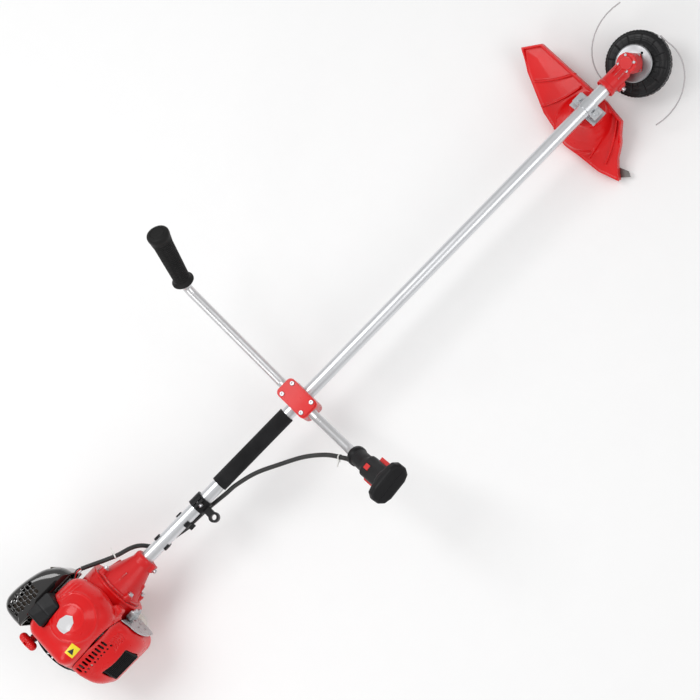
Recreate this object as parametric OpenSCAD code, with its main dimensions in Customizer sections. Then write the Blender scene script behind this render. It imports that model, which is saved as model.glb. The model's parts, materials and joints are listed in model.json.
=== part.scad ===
// Petrol line trimmer with two handlebars: engine at the back, bevel-geared cutting head in front.
// The tube lies along x (forwards), y is to the left and z is up, with the stand face at z = 0.

/* [Shaft] */
// Outer diameter of the drive tube
tube_d = 26; // [26:0.5:26.5]
// Wall thickness of the drive tube
tube_wall = 1.5; // [1.2:0.1:1.8]
// Front end of the tube, ahead of the handle clamp
tube_front = 856; // [854:1:858]
// Length of the foam sleeve behind the handle clamp
sleeve_l = 182; // [150:1:186]
// Outer diameter of the foam sleeve
sleeve_d = 32; // [30:0.5:34]

/* [Handlebars] */
// Diameter of both handlebars
bar_d = 18; // [17:0.5:18]
// Wall of the handlebars
bar_wall = 1.5; // [1:0.1:2]

/* [Cutting head] */
// Tilt of the cutting head against the tube, in degrees
head_tilt = 25; // [25:1:25]
// Distance of the gear axis ahead of the handle clamp
gear_x = 886; // [886:1:886]
// Diameter of the trimmer head
head_d = 128; // [120:1:132]
// Diameter of the silver flange over the trimmer head
flange_d = 72; // [60:1:80]
// Depth of the guard's rear skirt
skirt = 16; // [12:1:16]
// Diameter of the trimmer line
line_d = 2.7; // [2:0.1:3]

/* [Engine] */
// Cylinder bore
bore_d = 40; // [38:0.5:41]
// Piston stroke
stroke = 34; // [30:1:34]
// Height of the tube axis above the stand face
axis_h = 120; // [120:1:130]
// Number of cooling fins round the cylinder
fin_n = 7; // [5:1:7]
// Teeth on the drive pinion
pinion_z = 14; // [14:1:14]
// Teeth on the output gear
gear_z = 19; // [19:1:19]

/* [Hidden] */
$fn = 48;
stand_x = 590; // handle clamp ahead of the stand origin
fit = 0.02; // radial gap round seated parts
tube_r = tube_d / 2;
tube_fit = tube_r + fit;
tube_bore = tube_r - tube_wall;
bar_fit = bar_d / 2 + fit;
sleeve_x = -37;
screw_d = 5;
screw_hole = 2.55; // radius
bolt_hole = 2.6; // radius
diagonals = [45, 135, 225, 315];

// Bevel gears: pitch cones that share their apex
shaft_angle = 90 - head_tilt;
pinion_cone = atan(sin(shaft_angle) / (gear_z / pinion_z + cos(shaft_angle)));
gear_cone = shaft_angle - pinion_cone;
cone_r = 22; // apex to the large end of the teeth

// ---- frames ----
// Parts are laid out from the handle clamp on the tube axis, then moved to the stand face
module place() { translate([stand_x, 0, axis_h]) children(); }
// Gearcase frame: z up the output shaft, x forwards
module head() { translate([gear_x, 0, 0]) rotate([0, -head_tilt, 0]) children(); }
// Trimmer head frame, further down the output shaft
module stack() { head() translate([0, 0, -9]) children(); }
// Frame at start with z towards end
module along(start, end) {
  v = end - start;
  translate(start) rotate([0, acos(v.z / norm(v)), atan2(v.y, v.x)]) children();
}

// ---- shapes ----
// Cylinder about the x axis
module x_cyl(x0, x1, radius) {
  translate([x0, 0, 0]) rotate([0, 90, 0]) cylinder(r = radius, h = x1 - x0);
}
// Cylinder from a point towards +x
module x_pin(at, radius, length, center = false) {
  translate(at) rotate([0, 90, 0]) cylinder(r = radius, h = length, center = center);
}
// Cylinder from a point towards -y
module y_pin(at, radius, length, center = false) {
  translate(at) rotate([90, 0, 0]) cylinder(r = radius, h = length, center = center);
}
module x_ring(x0, x1, outer, inner) {
  difference() {
    x_cyl(x0, x1, outer);
    x_cyl(x0 - 1, x1 + 1, inner);
  }
}
module z_ring(z0, z1, outer, inner) {
  difference() {
    translate([0, 0, z0]) cylinder(r = outer, h = z1 - z0);
    translate([0, 0, z0 - 1]) cylinder(r = inner, h = z1 - z0 + 2);
  }
}
// Solid of revolution about x: points are [x, radius]
module x_revolve(points) {
  rotate([90, 0, 90]) rotate_extrude() polygon([for (p = points) [p[1], p[0]]]);
}
// Straight rods between points, with a slightly larger ball at each joint
module rod_chain(points, diameter) {
  for (i = [0 : len(points) - 2]) {
    along(points[i], points[i + 1])
      cylinder(d = diameter, h = norm(points[i + 1] - points[i]));
    if (i > 0) translate(points[i]) sphere(d = diameter + 0.4);
  }
}
// Round-ended links for thin flexible pieces
module soft_chain(points, diameter) {
  for (i = [0 : len(points) - 2]) hull() {
    translate(points[i]) sphere(d = diameter, $fn = 12);
    translate(points[i + 1]) sphere(d = diameter, $fn = 12);
  }
}
// Block between two corners, with rounded vertical edges
module round_block(low, high, radius) {
  size = high - low;
  for (x = [low.x + radius, high.x - radius]) for (y = [low.y + radius, high.y - radius])
    translate([x, y, low.z]) cylinder(r = radius, h = size.z);
  translate(low + [radius, 0, 0]) cube(size - [2 * radius, 0, 0]);
  translate(low + [0, radius, 0]) cube(size - [0, 2 * radius, 0]);
}
// Socket head screw, head at the origin, shank towards -z
module socket_screw(length) {
  difference() {
    cylinder(d = screw_d * 1.6, h = screw_d);
    translate([0, 0, screw_d * 0.4]) cylinder(d = screw_d * 0.9, h = screw_d, $fn = 6);
  }
  translate([0, 0, -length]) cylinder(d = screw_d, h = length + 0.01);
}
// Hexagon flange bolt, head at the origin, shank towards -z
module hex_bolt(length) {
  cylinder(d = screw_d * 2.1, h = 1.2);
  cylinder(d = screw_d * 1.75, h = screw_d * 0.8 + 1, $fn = 6);
  translate([0, 0, -length]) cylinder(d = screw_d, h = length + 0.01);
}

// Catmull-Rom point between start and end, t from 0 to 1
function curve_point(before, start, end, after, t) =
  0.5 * (2 * start + (end - before) * t
    + (2 * before - 5 * start + 4 * end - after) * t * t
    + (3 * start - before - 3 * end + after) * t * t * t);
// Smooth curve through the points, in the given number of steps per span
function spline(points, steps) = let (last = len(points) - 1) concat(
  [for (i = [0 : last - 1]) for (k = [0 : steps - 1])
    curve_point(points[max(i - 1, 0)], points[i], points[i + 1],
      points[min(i + 2, last)], k / steps)],
  [points[last]]);

// ---- shaft ----
hanger_x = -269;
hanger_screw_z = 20.5;

module drive_tube() {
  color("silver") place() x_ring(-446, tube_front, tube_r, tube_bore);
}
module foam_sleeve() {
  color("dimgray") place() x_ring(sleeve_x - sleeve_l, sleeve_x, sleeve_d / 2, tube_fit);
}
// Split ring with an eye on the right and a clamping lug on top
module harness_hanger() {
  eye_y = -38;
  color("black") place() translate([hanger_x, 0, 0]) difference() {
    union() {
      x_cyl(-13, 13, 18);
      translate([-7, -34, -6]) cube([14, 22, 12]);
      translate([0, eye_y, -6]) cylinder(r = 10, h = 12);
      translate([-10, -6, 12]) cube([20, 12, 14]);
    }
    x_cyl(-21, 19, tube_fit);
    translate([-21, -1, 12]) cube([40, 2, 20]);
    translate([0, eye_y, -7]) cylinder(r = 5.5, h = 14);
    y_pin([0, 10, hanger_screw_z], screw_hole, 20);
    y_pin([0, -5.5, hanger_screw_z], 4.5, 5);
  }
}
// Open ring on the tube with a slotted cable seat
module clip(x, turn) {
  translate([x, 0, 0]) rotate([turn, 0, 0]) difference() {
    union() {
      x_cyl(-6, 6, tube_r + 3);
      translate([-6, -tube_r - 13.4, -7]) cube([12, 14, 14]);
    }
    x_cyl(-8, 8, tube_fit);
    translate([0, -tube_r - 7.6, 0]) x_cyl(-8, 8, 5.3);
    translate([-8, -tube_r - 16, -2]) cube([16, 8, 4]);
    translate([-8, -6, 0]) rotate([-35, 0, 0]) cube([16, 30, 40]);
  }
}
module cable_clips() {
  color("black") place() {
    clip(-314, 57);
    clip(-372, 84);
  }
}

// ---- handle clamp ----
bar_z = 26; // bar axis over the tube axis
clamp_gap = 0.15; // base and saddle each stop this far from the tube axis
clamp_half = [20.5, 37.5];

module clamp_corners(z) {
  for (x = [-13.5, 13.5]) for (y = [-25.5, 25.5]) translate([x, y, z]) children();
}
module clamp_block(z0, z1, half, radius) {
  round_block([-half.x, -half.y, z0], [half.x, half.y, z1], radius);
}
module bar_seat() { y_pin([0, 0, bar_z], bar_fit, 100, center = true); }

module clamp_base() {
  color("firebrick") place() difference() {
    clamp_block(-20, -clamp_gap, clamp_half, 9);
    x_cyl(-30, 30, tube_fit);
    clamp_corners(-22) cylinder(r = screw_hole, h = 30);
  }
}
module clamp_saddle() {
  color("firebrick") place() difference() {
    clamp_block(clamp_gap, bar_z - 0.1, clamp_half, 9);
    x_cyl(-30, 30, tube_fit);
    bar_seat();
    clamp_corners(-2) cylinder(r = screw_hole, h = 30);
  }
}
module clamp_cap() {
  color("red") place() difference() {
    union() {
      clamp_block(bar_z + 0.1, 36, [21, 38], 10);
      clamp_block(35, 38.6, [18.5, 35], 8);
    }
    bar_seat();
    clamp_corners(20) cylinder(r = screw_hole, h = 30);
    clamp_corners(36) cylinder(r = 4.6, h = 10);
  }
}
// Clamp, harness hanger, clutch housing and gearcase screws
module socket_screws() {
  // seat of the head, shank length
  side_screws = [
    [[hanger_x, -5.6, hanger_screw_z], 11],
    [[-420, -26.05, 0], 4],
    [[844, -22.05, -9], 4]];
  color("silver") place() {
    clamp_corners(36.02) socket_screw(52);
    for (s = side_screws) translate(s[0]) rotate([90, 0, 0]) socket_screw(s[1]);
  }
}

// ---- handlebars and grips ----
// Points of a bend round a corner, starting and ending reach away from it
function bend(from, corner, to, reach) =
  let (a = corner - (corner - from) / norm(corner - from) * reach,
    c = corner + (to - corner) / norm(to - corner) * reach)
  [for (t = [0, 0.5, 1]) a * (1 - t) * (1 - t) + corner * 2 * t * (1 - t) + c * t * t];

left_rise = [0.5, 62, 31];
left_corner = [5, 277.8, 112.2];
left_end = [41.6, 344.8, 233];
left_grip_start =
  left_corner + (left_end - left_corner) / norm(left_end - left_corner) * 16;
left_path = concat([[0, 1.5, bar_z], [0, 46, bar_z], left_rise],
  bend(left_rise, left_corner, left_end, 13), [left_end]);

grip_start = [5.3, -163, 83.4];
grip_end = [14.3, -251, 167.4];
grip_dir = (grip_end - grip_start) / norm(grip_end - grip_start);
right_path = [[0, -1.5, bar_z], [0, -44, bar_z], [0.2, -54, 27.6], [1, -66, 32.5],
  [4, -145, 68.5], grip_start - grip_dir * 10, grip_start + grip_dir * 50];

// Hollow bar; its inside runs slightly past both ends to open them
module bar(path) {
  last = len(path) - 1;
  first_shift = (path[0] - path[1]) * 0.01;
  last_shift = (path[last] - path[last - 1]) * 0.01;
  difference() {
    rod_chain(path, bar_d);
    rod_chain([for (i = [0 : last])
      path[i] + (i == 0 ? first_shift : i == last ? last_shift : [0, 0, 0])],
      bar_d - 2 * bar_wall);
  }
}
module handlebar_left() { color("silver") place() bar(left_path); }
module handlebar_right() { color("silver") place() bar(right_path); }

module left_grip() {
  // radius, distance along the bar
  profile = [[0, 2], [21, 2], [21, 6], [15.5, 9], [16.8, 60], [17.8, 100], [19.8, 114],
    [21.3, 120], [21.3, 127], [19, 130], [0, 130]];
  color("black") place() along(left_grip_start, left_end) difference() {
    rotate_extrude() polygon(profile);
    translate([0, 0, -1]) cylinder(r = bar_fit, h = norm(left_end - left_grip_start) + 1.05);
  }
}

// Frame of the throttle grip: z outwards along the bar, y to the front, -x to the top
module grip() { along(grip_start, grip_end) children(); }
grip_screws = [[11, 14.5, 5.5], [13.5, -16, 115], [14.5, 15, 120]]; // under the heads
trigger_hinge = [-6, 11, 68];
lockout_hinge = [-6, -11, 104];

module grip_solid() {
  // radius, distance along the bar
  profile = [[0, 0], [19, 0], [19, 8], [16.5, 12], [17, 45], [17.5, 100], [21, 113],
    [21, 134], [0, 134]];
  // x, y of the outer end plate
  plate = [[-22, -30], [-19, -36], [-12, -39.5], [12, -39.5], [19, -36], [22, -30],
    [22, 30], [19, 36], [12, 39.5], [-12, 39.5], [-19, 36], [-22, 30]];
  rotate_extrude() polygon(profile);
  translate([0, 0, 113.5]) linear_extrude(20.5) polygon(plate);
  translate([-14, -20, 50]) cube([28, 40, 66]);
}
// Half of the grip, without the 50 mm slab that starts at cut_x
module grip_half(cut_x) {
  difference() {
    grip_solid();
    translate([0, 0, -1]) cylinder(r = bar_fit, h = 53);
    // inner chamber, then the slots for trigger, lockout and stop switch
    translate([-10.5, -14, 54]) cube([21, 28, 58]);
    translate([-4.6, 10, 64]) cube([9.2, 20, 47]);
    translate([-4.6, -30, 58]) cube([9.2, 20, 53]);
    translate([-30, -7.1, 62]) cube([24, 10.2, 14.2]);
    translate([cut_x, -50, -10]) cube([50, 100, 160]);
    // cross holes
    x_pin([-30, 14.2, 58], 1.55, 60);
    x_pin([0, -14.5, 5.5], 1.55, 60, center = true);
    for (s = grip_screws) x_pin([0, s.y, s.z], 1.6, 60, center = true);
    for (hinge = [trigger_hinge, lockout_hinge]) x_pin(hinge - [0.1, 0, 0], 2.05, 12.2);
    // cable outlet
    translate([0, -14.6, -1]) cylinder(r = 3.3, h = 60);
  }
}
module throttle_grip_upper() { color([0.13, 0.13, 0.14]) place() grip() grip_half(-0.05); }
module throttle_grip_lower() { color([0.16, 0.16, 0.17]) place() grip() grip_half(-49.95); }

// Grip, cutter blade and gearcase lid screws
module small_screws() {
  color("silver") place() {
    grip() for (s = grip_screws) translate(s) rotate([0, 90, 0]) {
      translate([0, 0, -8]) cylinder(r = 1.5, h = 8.5);
      translate([0, 0, 6.8]) cylinder(r = 0.6, h = 0.4);
      cylinder(r = 1.5, h = 7);
    }
    head() for (p = blade_holes) translate([p.x, p.y, -41.4]) rotate([180, 0, 0]) {
      cylinder(r = 2.8, h = 2);
      translate([0, 0, -9]) cylinder(r = 1.6, h = 9.01);
    }
    head() lid_corners(24.52) {
      cylinder(r = 2.6, h = 1.8);
      translate([0, 0, -3.9]) cylinder(r = 1.4, h = 3.91);
    }
  }
}
module throttle_trigger() {
  color("red") place() grip() {
    x_pin(trigger_hinge, 2, 12);
    translate([-4, 9.5, 66.5]) cube([8, 10.5, 4.5]);
    difference() {
      union() {
        translate([-4, 13, 69]) cube([8, 15, 34]);
        x_pin([-4, 20, 101], 8, 8);
      }
      x_pin([-5, 22, 84], 0.8, 10);
      translate([-5, -10, 60]) cube([10, 23.2, 60]);
    }
  }
}
module trigger_lockout() {
  color("red") place() grip() {
    x_pin(lockout_hinge, 2, 12);
    translate([-4, -19, 101.7]) cube([8, 9.8, 4.4]);
    translate([-4, -23.5, 70]) cube([8, 9.5, 35.5]);
    x_pin([-4, -17.5, 70], 6, 8);
  }
}
module stop_switch() {
  color("red") place() grip() translate([-17.8, -7, 62.1]) cube([9, 10, 14]);
}

// ---- cable ----
// x, y, z from the throttle grip back to the engine
loom_stations = [
  [-9.8, -157.5, 76.5], [-15, -147, 66], [-35, -116, 45], [-68, -86, 31],
  [-112, -60, 20], [-155, -37, 7], [-197, -24, -3], [-224, -20, -9.5],
  [-269, -12.5, -21.5], [-307, -11.2, -17.3], [-321, -11.2, -17.3], [-343, -6.5, -19.8],
  [-365, -2.2, -20.5], [-379, -2.2, -20.5], [-393, 10, -20.5], [-407, 27, -9],
  [-421, 34, 8], [-445, 39, 24], [-466, 47, 32], [-490, 58, 37], [-508, 66, 41]];
loom_path = spline(loom_stations, 2);

module cable_loom() {
  color([0.1, 0.1, 0.1]) place() soft_chain(loom_path, 9);
}
// Tie halfway along link i of the loom; flip = 1 turns its tail to the other side
module tie(i, flip) {
  end = loom_path[i + 1];
  along((loom_path[i] + end) / 2, end) mirror([0, flip, 0]) {
    z_ring(-1.25, 1.25, 5.6, 4.52);
    translate([-2.5, 5.4, -2.2]) cube([5, 4, 4.4]);
    translate([-1.2, 9, -0.6]) cube([2.4, 9, 1.2]);
  }
}
module cable_ties() {
  color("white") place() {
    tie(2, 0);
    tie(34, 1);
  }
}

// ---- gearcase ----
module lid_corners(z) {
  for (a = diagonals) translate([15.2 * cos(a), 15.2 * sin(a), z]) children();
}
module gearcase() {
  color("red") place() difference() {
    union() {
      x_cyl(818, 868, 17.5);
      x_cyl(818, 826, 19);
      translate([835, -22, -16]) cube([18, 14, 14]);
      head() {
        translate([0, 0, -22]) cylinder(r = 19.5, h = 46.5);
        translate([0, 0, 24]) cylinder(r = 12.4, h = 4);
        translate([0, 0, -22]) cylinder(r = 22, h = 6);
      }
      translate([862, 0, 14]) rotate([0, -head_tilt, 0]) translate([0, -4, 0]) cube([14, 8, 6]);
    }
    // tube socket, pinion bearing seat and pinion room
    x_cyl(806, 856.5, tube_fit);
    x_cyl(856, 865.6, 11 + fit);
    x_cyl(865, 886, 12.2);
    // clamping slit and its screw hole
    translate([816, -1, -25]) cube([30, 2, 15]);
    y_pin([844, -17, -9], screw_hole, 10);
    head() {
      translate([0, 0, -12]) cylinder(r = 15.6, h = 32.3);
      translate([0, 0, -19.5]) cylinder(r = 13 + fit, h = 20);
      translate([0, 0, -30]) cylinder(r = 8, h = 20);
      translate([0, 0, 20]) cylinder(r = 9.5 + fit, h = 5.6);
      lid_corners(20) cylinder(r = 1.45, h = 6);
    }
  }
}
// Straight-cut bevel gear about +z: pitch cone of half angle cone with its apex at the origin,
// a plain bore, a rim running back beyond the pitch circle, and a hub behind it
module bevel(teeth, cone, bore, back, phase, hub_r, hub_l) {
  inner = 15; // apex to the small end of the teeth
  depth = 1.3; // pitch cone to tooth root
  top = inner * cos(cone) + depth * sin(cone);
  rear = cone_r * cos(cone) + back;
  root = cone_r * sin(cone) - depth * cos(cone);
  rotate_extrude() polygon([[bore, top], [inner * sin(cone) - depth * cos(cone), top],
    [root, cone_r * cos(cone) + depth * sin(cone)], [root, rear],
    [hub_r, rear], [hub_r, rear + hub_l], [bore, rear + hub_l]]);
  for (i = [0 : teeth - 1])
    rotate([0, 0, phase + i * 360 / teeth]) rotate([0, cone, 0])
      translate([-depth - 0.3, -0.7, inner + 0.4])
        cube([depth + 1.2, 1.4, cone_r - inner - 0.8]);
}
module input_pinion() {
  color("silver") place() translate([gear_x, 0, 0]) rotate([0, -90, 0])
    bevel(pinion_z, pinion_cone, bore = 3.55, back = 0.75, phase = 0, hub_r = 5, hub_l = 19.2);
}
module bevel_gear() {
  color("silver") place() head() bevel(gear_z, gear_cone, bore = 4.03, back = 1.4,
    phase = 180 + 180 / gear_z, hub_r = 6, hub_l = 1);
}
module output_shaft() {
  color("silver") place() head() {
    translate([0, 0, -50.5]) cylinder(r = 5, h = 61.5);
    translate([0, 0, 10.9]) cylinder(r = 4, h = 14.4);
    translate([0, 0, -11.9]) cylinder(r = 6.5, h = 2);
  }
}
// Pinion, clutch drum and two crankshaft bearings, then the two of the output shaft
module ball_bearings() {
  // x0, x1, outer radius, inner radius
  axial = [[857.2, 865.2, 11, 5.04], [-466, -456, 16, 6.04],
    [-523, -513, 17.5, 7.54], [-577, -567, 17.5, 7.54]];
  color("gray") place() {
    for (b = axial) x_ring(b[0], b[1], b[2], b[3]);
    head() {
      z_ring(-19.3, -12.2, 13, 5.04);
      z_ring(20.6, 25.4, 9.5, 4.04);
    }
  }
}
module flange_adapter() {
  flange_r = flange_d / 2;
  color("silver") place() head() difference() {
    rotate_extrude() polygon([[5.02, -22.8], [11, -22.8], [13, -25], [flange_r - 2, -26],
      [flange_r, -27], [flange_r, -30.5], [20, -30.5], [20, -39.5], [5.02, -39.5]]);
    translate([25, 0, -35]) cylinder(r = 2.6, h = 20);
  }
}

// ---- guard ----
bracket_x = 773;
module bracket_bolts(z) {
  for (y = [-21, 21]) translate([bracket_x, y, z]) children();
}
// Guard outline in the gearcase frame, x and y
guard_outline = [[-114, 192], [-83, 164], [-87, -10], [-94, -55], [-125, -78], [-154.7, -94],
  [-172, -110], [-185, -124.5], [-197, -82], [-201, 3.5], [-182, 76], [-143, 153]];
guard_z = -24;
blade_holes = [[-178, -104], [-186, -100]];

module guard_bracket() {
  color("silver") place() difference() {
    translate([bracket_x, 0, 0]) {
      x_cyl(-11, 11, tube_r + 2.6);
      translate([-11, -29, -3]) cube([22, 58, 2.8]);
      translate([-17, -31, -19]) cube([34, 62, 3.6]);
      translate([-11, -16, -18]) cube([22, 32, 8]);
    }
    x_cyl(750, 800, tube_fit);
    bracket_bolts(-30) cylinder(r = bolt_hole, h = 40);
  }
}
module hex_bolts() {
  color("silver") place() {
    housing_bolts(-475.98) hex_bolt(26);
    bracket_bolts(-0.18) hex_bolt(32);
  }
}
// Wall standing on the part of the outline left uncovered by its copy moved by shift
module guard_wall(z, height, shift) {
  translate([0, 0, z]) linear_extrude(height) difference() {
    polygon(guard_outline);
    translate([shift, 0]) polygon(guard_outline);
  }
}
module guard() {
  color("red") place() difference() {
    union() {
      head() {
        translate([0, 0, guard_z]) linear_extrude(3) polygon(guard_outline);
        guard_wall(guard_z - skirt, skirt + 0.1, 4); // rear edge
        guard_wall(guard_z - 8, 8.1, -3); // front edge
        // ribs on top
        for (a = [140, 155, 170, 197, 207])
          rotate([0, 0, a]) translate([114, -1.5, -21.1]) cube([72, 3, 5]);
        // blade block
        translate([0, 0, -40]) linear_extrude(17)
          polygon([[-169, -103], [-184, -119], [-195, -90], [-176, -90]]);
      }
      // hollow neck up to the bracket, cut off at the plate
      difference() {
        translate([bracket_x, 0, 0]) rotate_extrude()
          polygon([[0, -86], [58, -86], [43, -52], [35, -30], [33, -19.1], [0, -19.1]]);
        head() translate([-300, -200, -150]) cube([400, 400, 126.5]);
      }
    }
    translate([bracket_x, 0, 0]) rotate_extrude()
      polygon([[0, -110], [53, -110], [53, -86], [39, -52], [31, -30], [29, -25], [0, -25]]);
    bracket_bolts(-36) cylinder(r = bolt_hole, h = 20);
    head() for (p = blade_holes) translate([p.x, p.y, -45]) cylinder(r = 1.62, h = 14);
  }
}
module line_cutter_blade() {
  color("gray") place() head() difference() {
    translate([0, 0, -41.35]) linear_extrude(1.3)
      polygon([[-168, -134], [-162, -124], [-172, -94], [-194, -90], [-193, -108]]);
    for (p = blade_holes) translate([p.x, p.y, -60]) cylinder(r = 1.62, h = 30);
  }
}

// ---- trimmer head ----
head_r = head_d / 2;
line_z = -51;

module head_housing() {
  color([0.08, 0.08, 0.09]) place() stack() difference() {
    rotate_extrude() polygon([[5.02, -30.7], [22, -30.7], [24, -33], [38, -34], [44, -38],
      [56, -40], [60, -44], [head_r - 1, -46], [head_r, -49], [head_r, -57.9],
      [54.5, -57.9], [54.5, -46], [50, -43], [5.02, -43]]);
    for (a = [0, 180]) rotate([0, 0, a]) x_pin([40, 0, line_z], 2.2, 40);
  }
}
module head_cover() {
  color([0.08, 0.08, 0.09]) place() stack() rotate_extrude()
    polygon([[24.1, -66.5], [56, -66.5], [head_r, -62], [head_r, -58.1],
      [head_r - 4, -58.1], [53.5, -58.1], [53.5, -63.9], [24.1, -63.9]]);
}
module spool() {
  color("firebrick") place() stack() rotate_extrude()
    polygon([[0, -76], [14, -75.5], [21, -72.5], [24, -66], [24, -63.8], [49, -63.8],
      [49, -61.8], [26, -61.8], [26, -52.4], [49, -52.4], [49, -50.4], [14, -50.4],
      [14, -62], [0, -62]]);
}
// Spring drawn as five separate rings
module bump_spring() {
  color("silver") place() stack() for (i = [0 : 4])
    translate([0, 0, -44.2 - i * 4.1]) rotate_extrude()
      translate([10.5, 0]) circle(r = 1, $fn = 20);
}
// Point on a line that trails round the head, part from 0 to 1
function line_point(start_angle, part) =
  let (angle = start_angle - 122 * part,
    radius = max(66.8, 60 + 66 * part - 4 * part * part))
  [radius * cos(angle), radius * sin(angle), line_z + 3 * sin(180 * part)];
module trimmer_lines() {
  inside = head_r - 8;
  color([0.92, 0.92, 0.9]) place() stack() for (a = [0, 180])
    soft_chain(concat([[inside * cos(a), inside * sin(a), line_z]],
      [for (i = [0 : 16]) line_point(a, i / 16)]), line_d);
}

// ---- drive line ----
shaft_r = 3.5;

module drive_shaft() { color("silver") place() x_cyl(-466, 861, shaft_r); }
module shaft_bushings() {
  color("dimgray") place() for (x = [-360, -110, 140, 390, 640])
    x_ring(x - 12, x + 12, tube_bore - 0.03, shaft_r + 0.06);
}
module clutch_drum() {
  color("silver") place() difference() {
    x_revolve([[-449, 0], [-473, 0], [-473, 32.5], [-488.5, 32.5], [-488.5, 35],
      [-470.5, 35], [-470.5, 9], [-467.4, 9], [-467.4, 6], [-449, 6]]);
    x_cyl(-467, -440, shaft_r + 0.03);
  }
}
// Four places on the bolt circle of the clutch housing, z turned to +x
module housing_bolts(x) {
  for (a = diagonals)
    rotate([a, 0, 0]) translate([x, 0, 48.5]) rotate([0, 90, 0]) children();
}
module clutch_housing() {
  back = -489.9;
  color("red") place() difference() {
    union() {
      x_revolve([[-412, 10], [-412, 19.5], [-417, 22], [-427, 22], [-484, 43.5],
        [-485, 50], [back, 50], [back, 10]]);
      translate([-428, -26, -8]) cube([16, 12, 16]);
      housing_bolts(back) cylinder(r = 7, h = 13.9);
      for (a = [0, 90, 180, 270])
        rotate([a, 0, 0]) translate([-482, -1.5, 34]) cube([22, 3, 8.5]);
    }
    // tube socket, passage, bearing seat and drum room
    x_cyl(-446.5, -400, 13.02);
    x_cyl(-456, -446, 12);
    x_cyl(-469, -455.6, 16 + fit);
    x_revolve([[-468.5, 0], [-468.5, 35.5], [-478, 37.5], [-500, 38], [-500, 0]]);
    // clamping slit and its screw hole
    translate([-434, -40, -1]) cube([30, 27, 2]);
    y_pin([-420, -20, 0], screw_hole, 10);
    housing_bolts(-495) cylinder(r = screw_hole, h = 30);
  }
}
shoe_pin_z = 22;
shoe_pin_r = 4;
// Shoe over the axis, bored for its pin
module shoe() {
  difference() {
    intersection() {
      x_ring(-487.5, -474.5, 29.5, 13);
      // sector in -z, y
      rotate([0, 90, 0]) translate([0, 0, -490]) linear_extrude(40)
        polygon([[-36, -5], [-36, 40], [40, 40], [40, 6], [12, 6], [-12, -5]]);
    }
    x_pin([-490, 0, shoe_pin_z], shoe_pin_r + 0.04, 40);
  }
}
module clutch_shoe_a() { color("dimgray") place() shoe(); }
module clutch_shoe_b() { color("dimgray") place() rotate([180, 0, 0]) shoe(); }

crank_r = 7.5;
module flywheel_fan() {
  color("silver") place() difference() {
    union() {
      x_cyl(-497, -492, 42.5);
      x_cyl(-509, -490, 11.5);
      for (i = [0 : 17])
        rotate([i * 20, 0, 0]) translate([-509, -0.9, 24]) cube([13, 1.8, 18]);
      for (side = [-1, 1])
        translate([0, 0, shoe_pin_z * side]) x_cyl(-492.5, -473.5, shoe_pin_r);
    }
    x_cyl(-520, -480, crank_r + 0.03);
  }
}

// ---- engine ----
cylinder_x = -546;
bore_r = bore_d / 2;
port_z = 53; // intake on the left, exhaust on the right
carb_y = 53;
lever_z = 50; // throttle and choke axis

module crankcase() {
  color("silver") place() difference() {
    union() {
      x_ring(-512, -490.1, 56, 44.5);
      x_cyl(-526, -511, 56);
      x_cyl(-582, -525, 36);
      translate([-582, -28, 0]) cube([62, 56, 36]);
      difference() {
        x_cyl(-583.5, -577, 57);
        translate([-600, -100, 30]) cube([40, 200, 60]);
      }
      translate([-580, -24, -63.8]) cube([60, 48, 34]);
    }
    // crank room, bearing seats and shaft passage
    x_cyl(-566, -526, 28.5);
    x_cyl(-524, -505, 17.5 + fit);
    x_cyl(-577.3, -560, 17.5 + fit);
    x_cyl(-600, -500, 9);
    translate([cylinder_x, 0, 0]) cylinder(r = bore_r + 0.6, h = 60);
    translate([-528, -44, 36]) cube([17.5, 88, 40]);
    housing_bolts(-506) cylinder(r = screw_hole, h = 30);
  }
}
module crankshaft() {
  color("silver") place() {
    x_cyl(-596, -488, crank_r);
    x_cyl(-541, -530, 26);
    x_cyl(-562, -551, 26);
    translate([0, 0, stroke / 2]) x_cyl(-552, -540, 6);
    x_cyl(-596, -588, 14);
  }
}
module piston() {
  color("silver") place() translate([cylinder_x, 0, 0]) difference() {
    translate([0, 0, 61]) cylinder(r = bore_r - 0.03, h = 34);
    translate([0, 0, 60]) cylinder(r = bore_r - 3, h = 29);
    for (z = [86, 90]) z_ring(z, z + 1.5, bore_d, bore_r - 1.4); // ring grooves
    x_pin([-30, 0, 74], 4.5, 60);
  }
}
module cylinder_node() {
  base_z = 36.1;
  color("silver") place() translate([cylinder_x, 0, 0]) difference() {
    union() {
      translate([0, 0, base_z]) cylinder(r = bore_r + 4.5, h = 66);
      translate([-27, -27, base_z]) cube([54, 54, 5]);
      for (i = [0 : fin_n - 1]) translate([-33, -40, 47 + i * 8.4]) cube([66, 80, 2.4]);
      translate([0, 0, 97]) cylinder(r = 26, h = 10);
      for (y = [20, -42]) translate([-13, y, 43]) cube([26, 22, 20]); // port stubs
    }
    translate([0, 0, 30]) cylinder(r = bore_r + fit, h = 67);
    translate([0, 0, 90]) cylinder(r = 7.05, h = 30);
    y_pin([0, 0, port_z], 7.5, 100, center = true);
  }
}
module spark_plug() {
  color("white") place() translate([cylinder_x, 0, 0]) {
    translate([0, 0, 98]) cylinder(r = 7, h = 9.2);
    translate([0, 0, 107.1]) cylinder(r = 10.5, h = 10, $fn = 6);
    translate([0, 0, 117]) cylinder(r = 5, h = 14);
    translate([0, 0, 130]) cylinder(r = 3, h = 6);
  }
}

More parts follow.
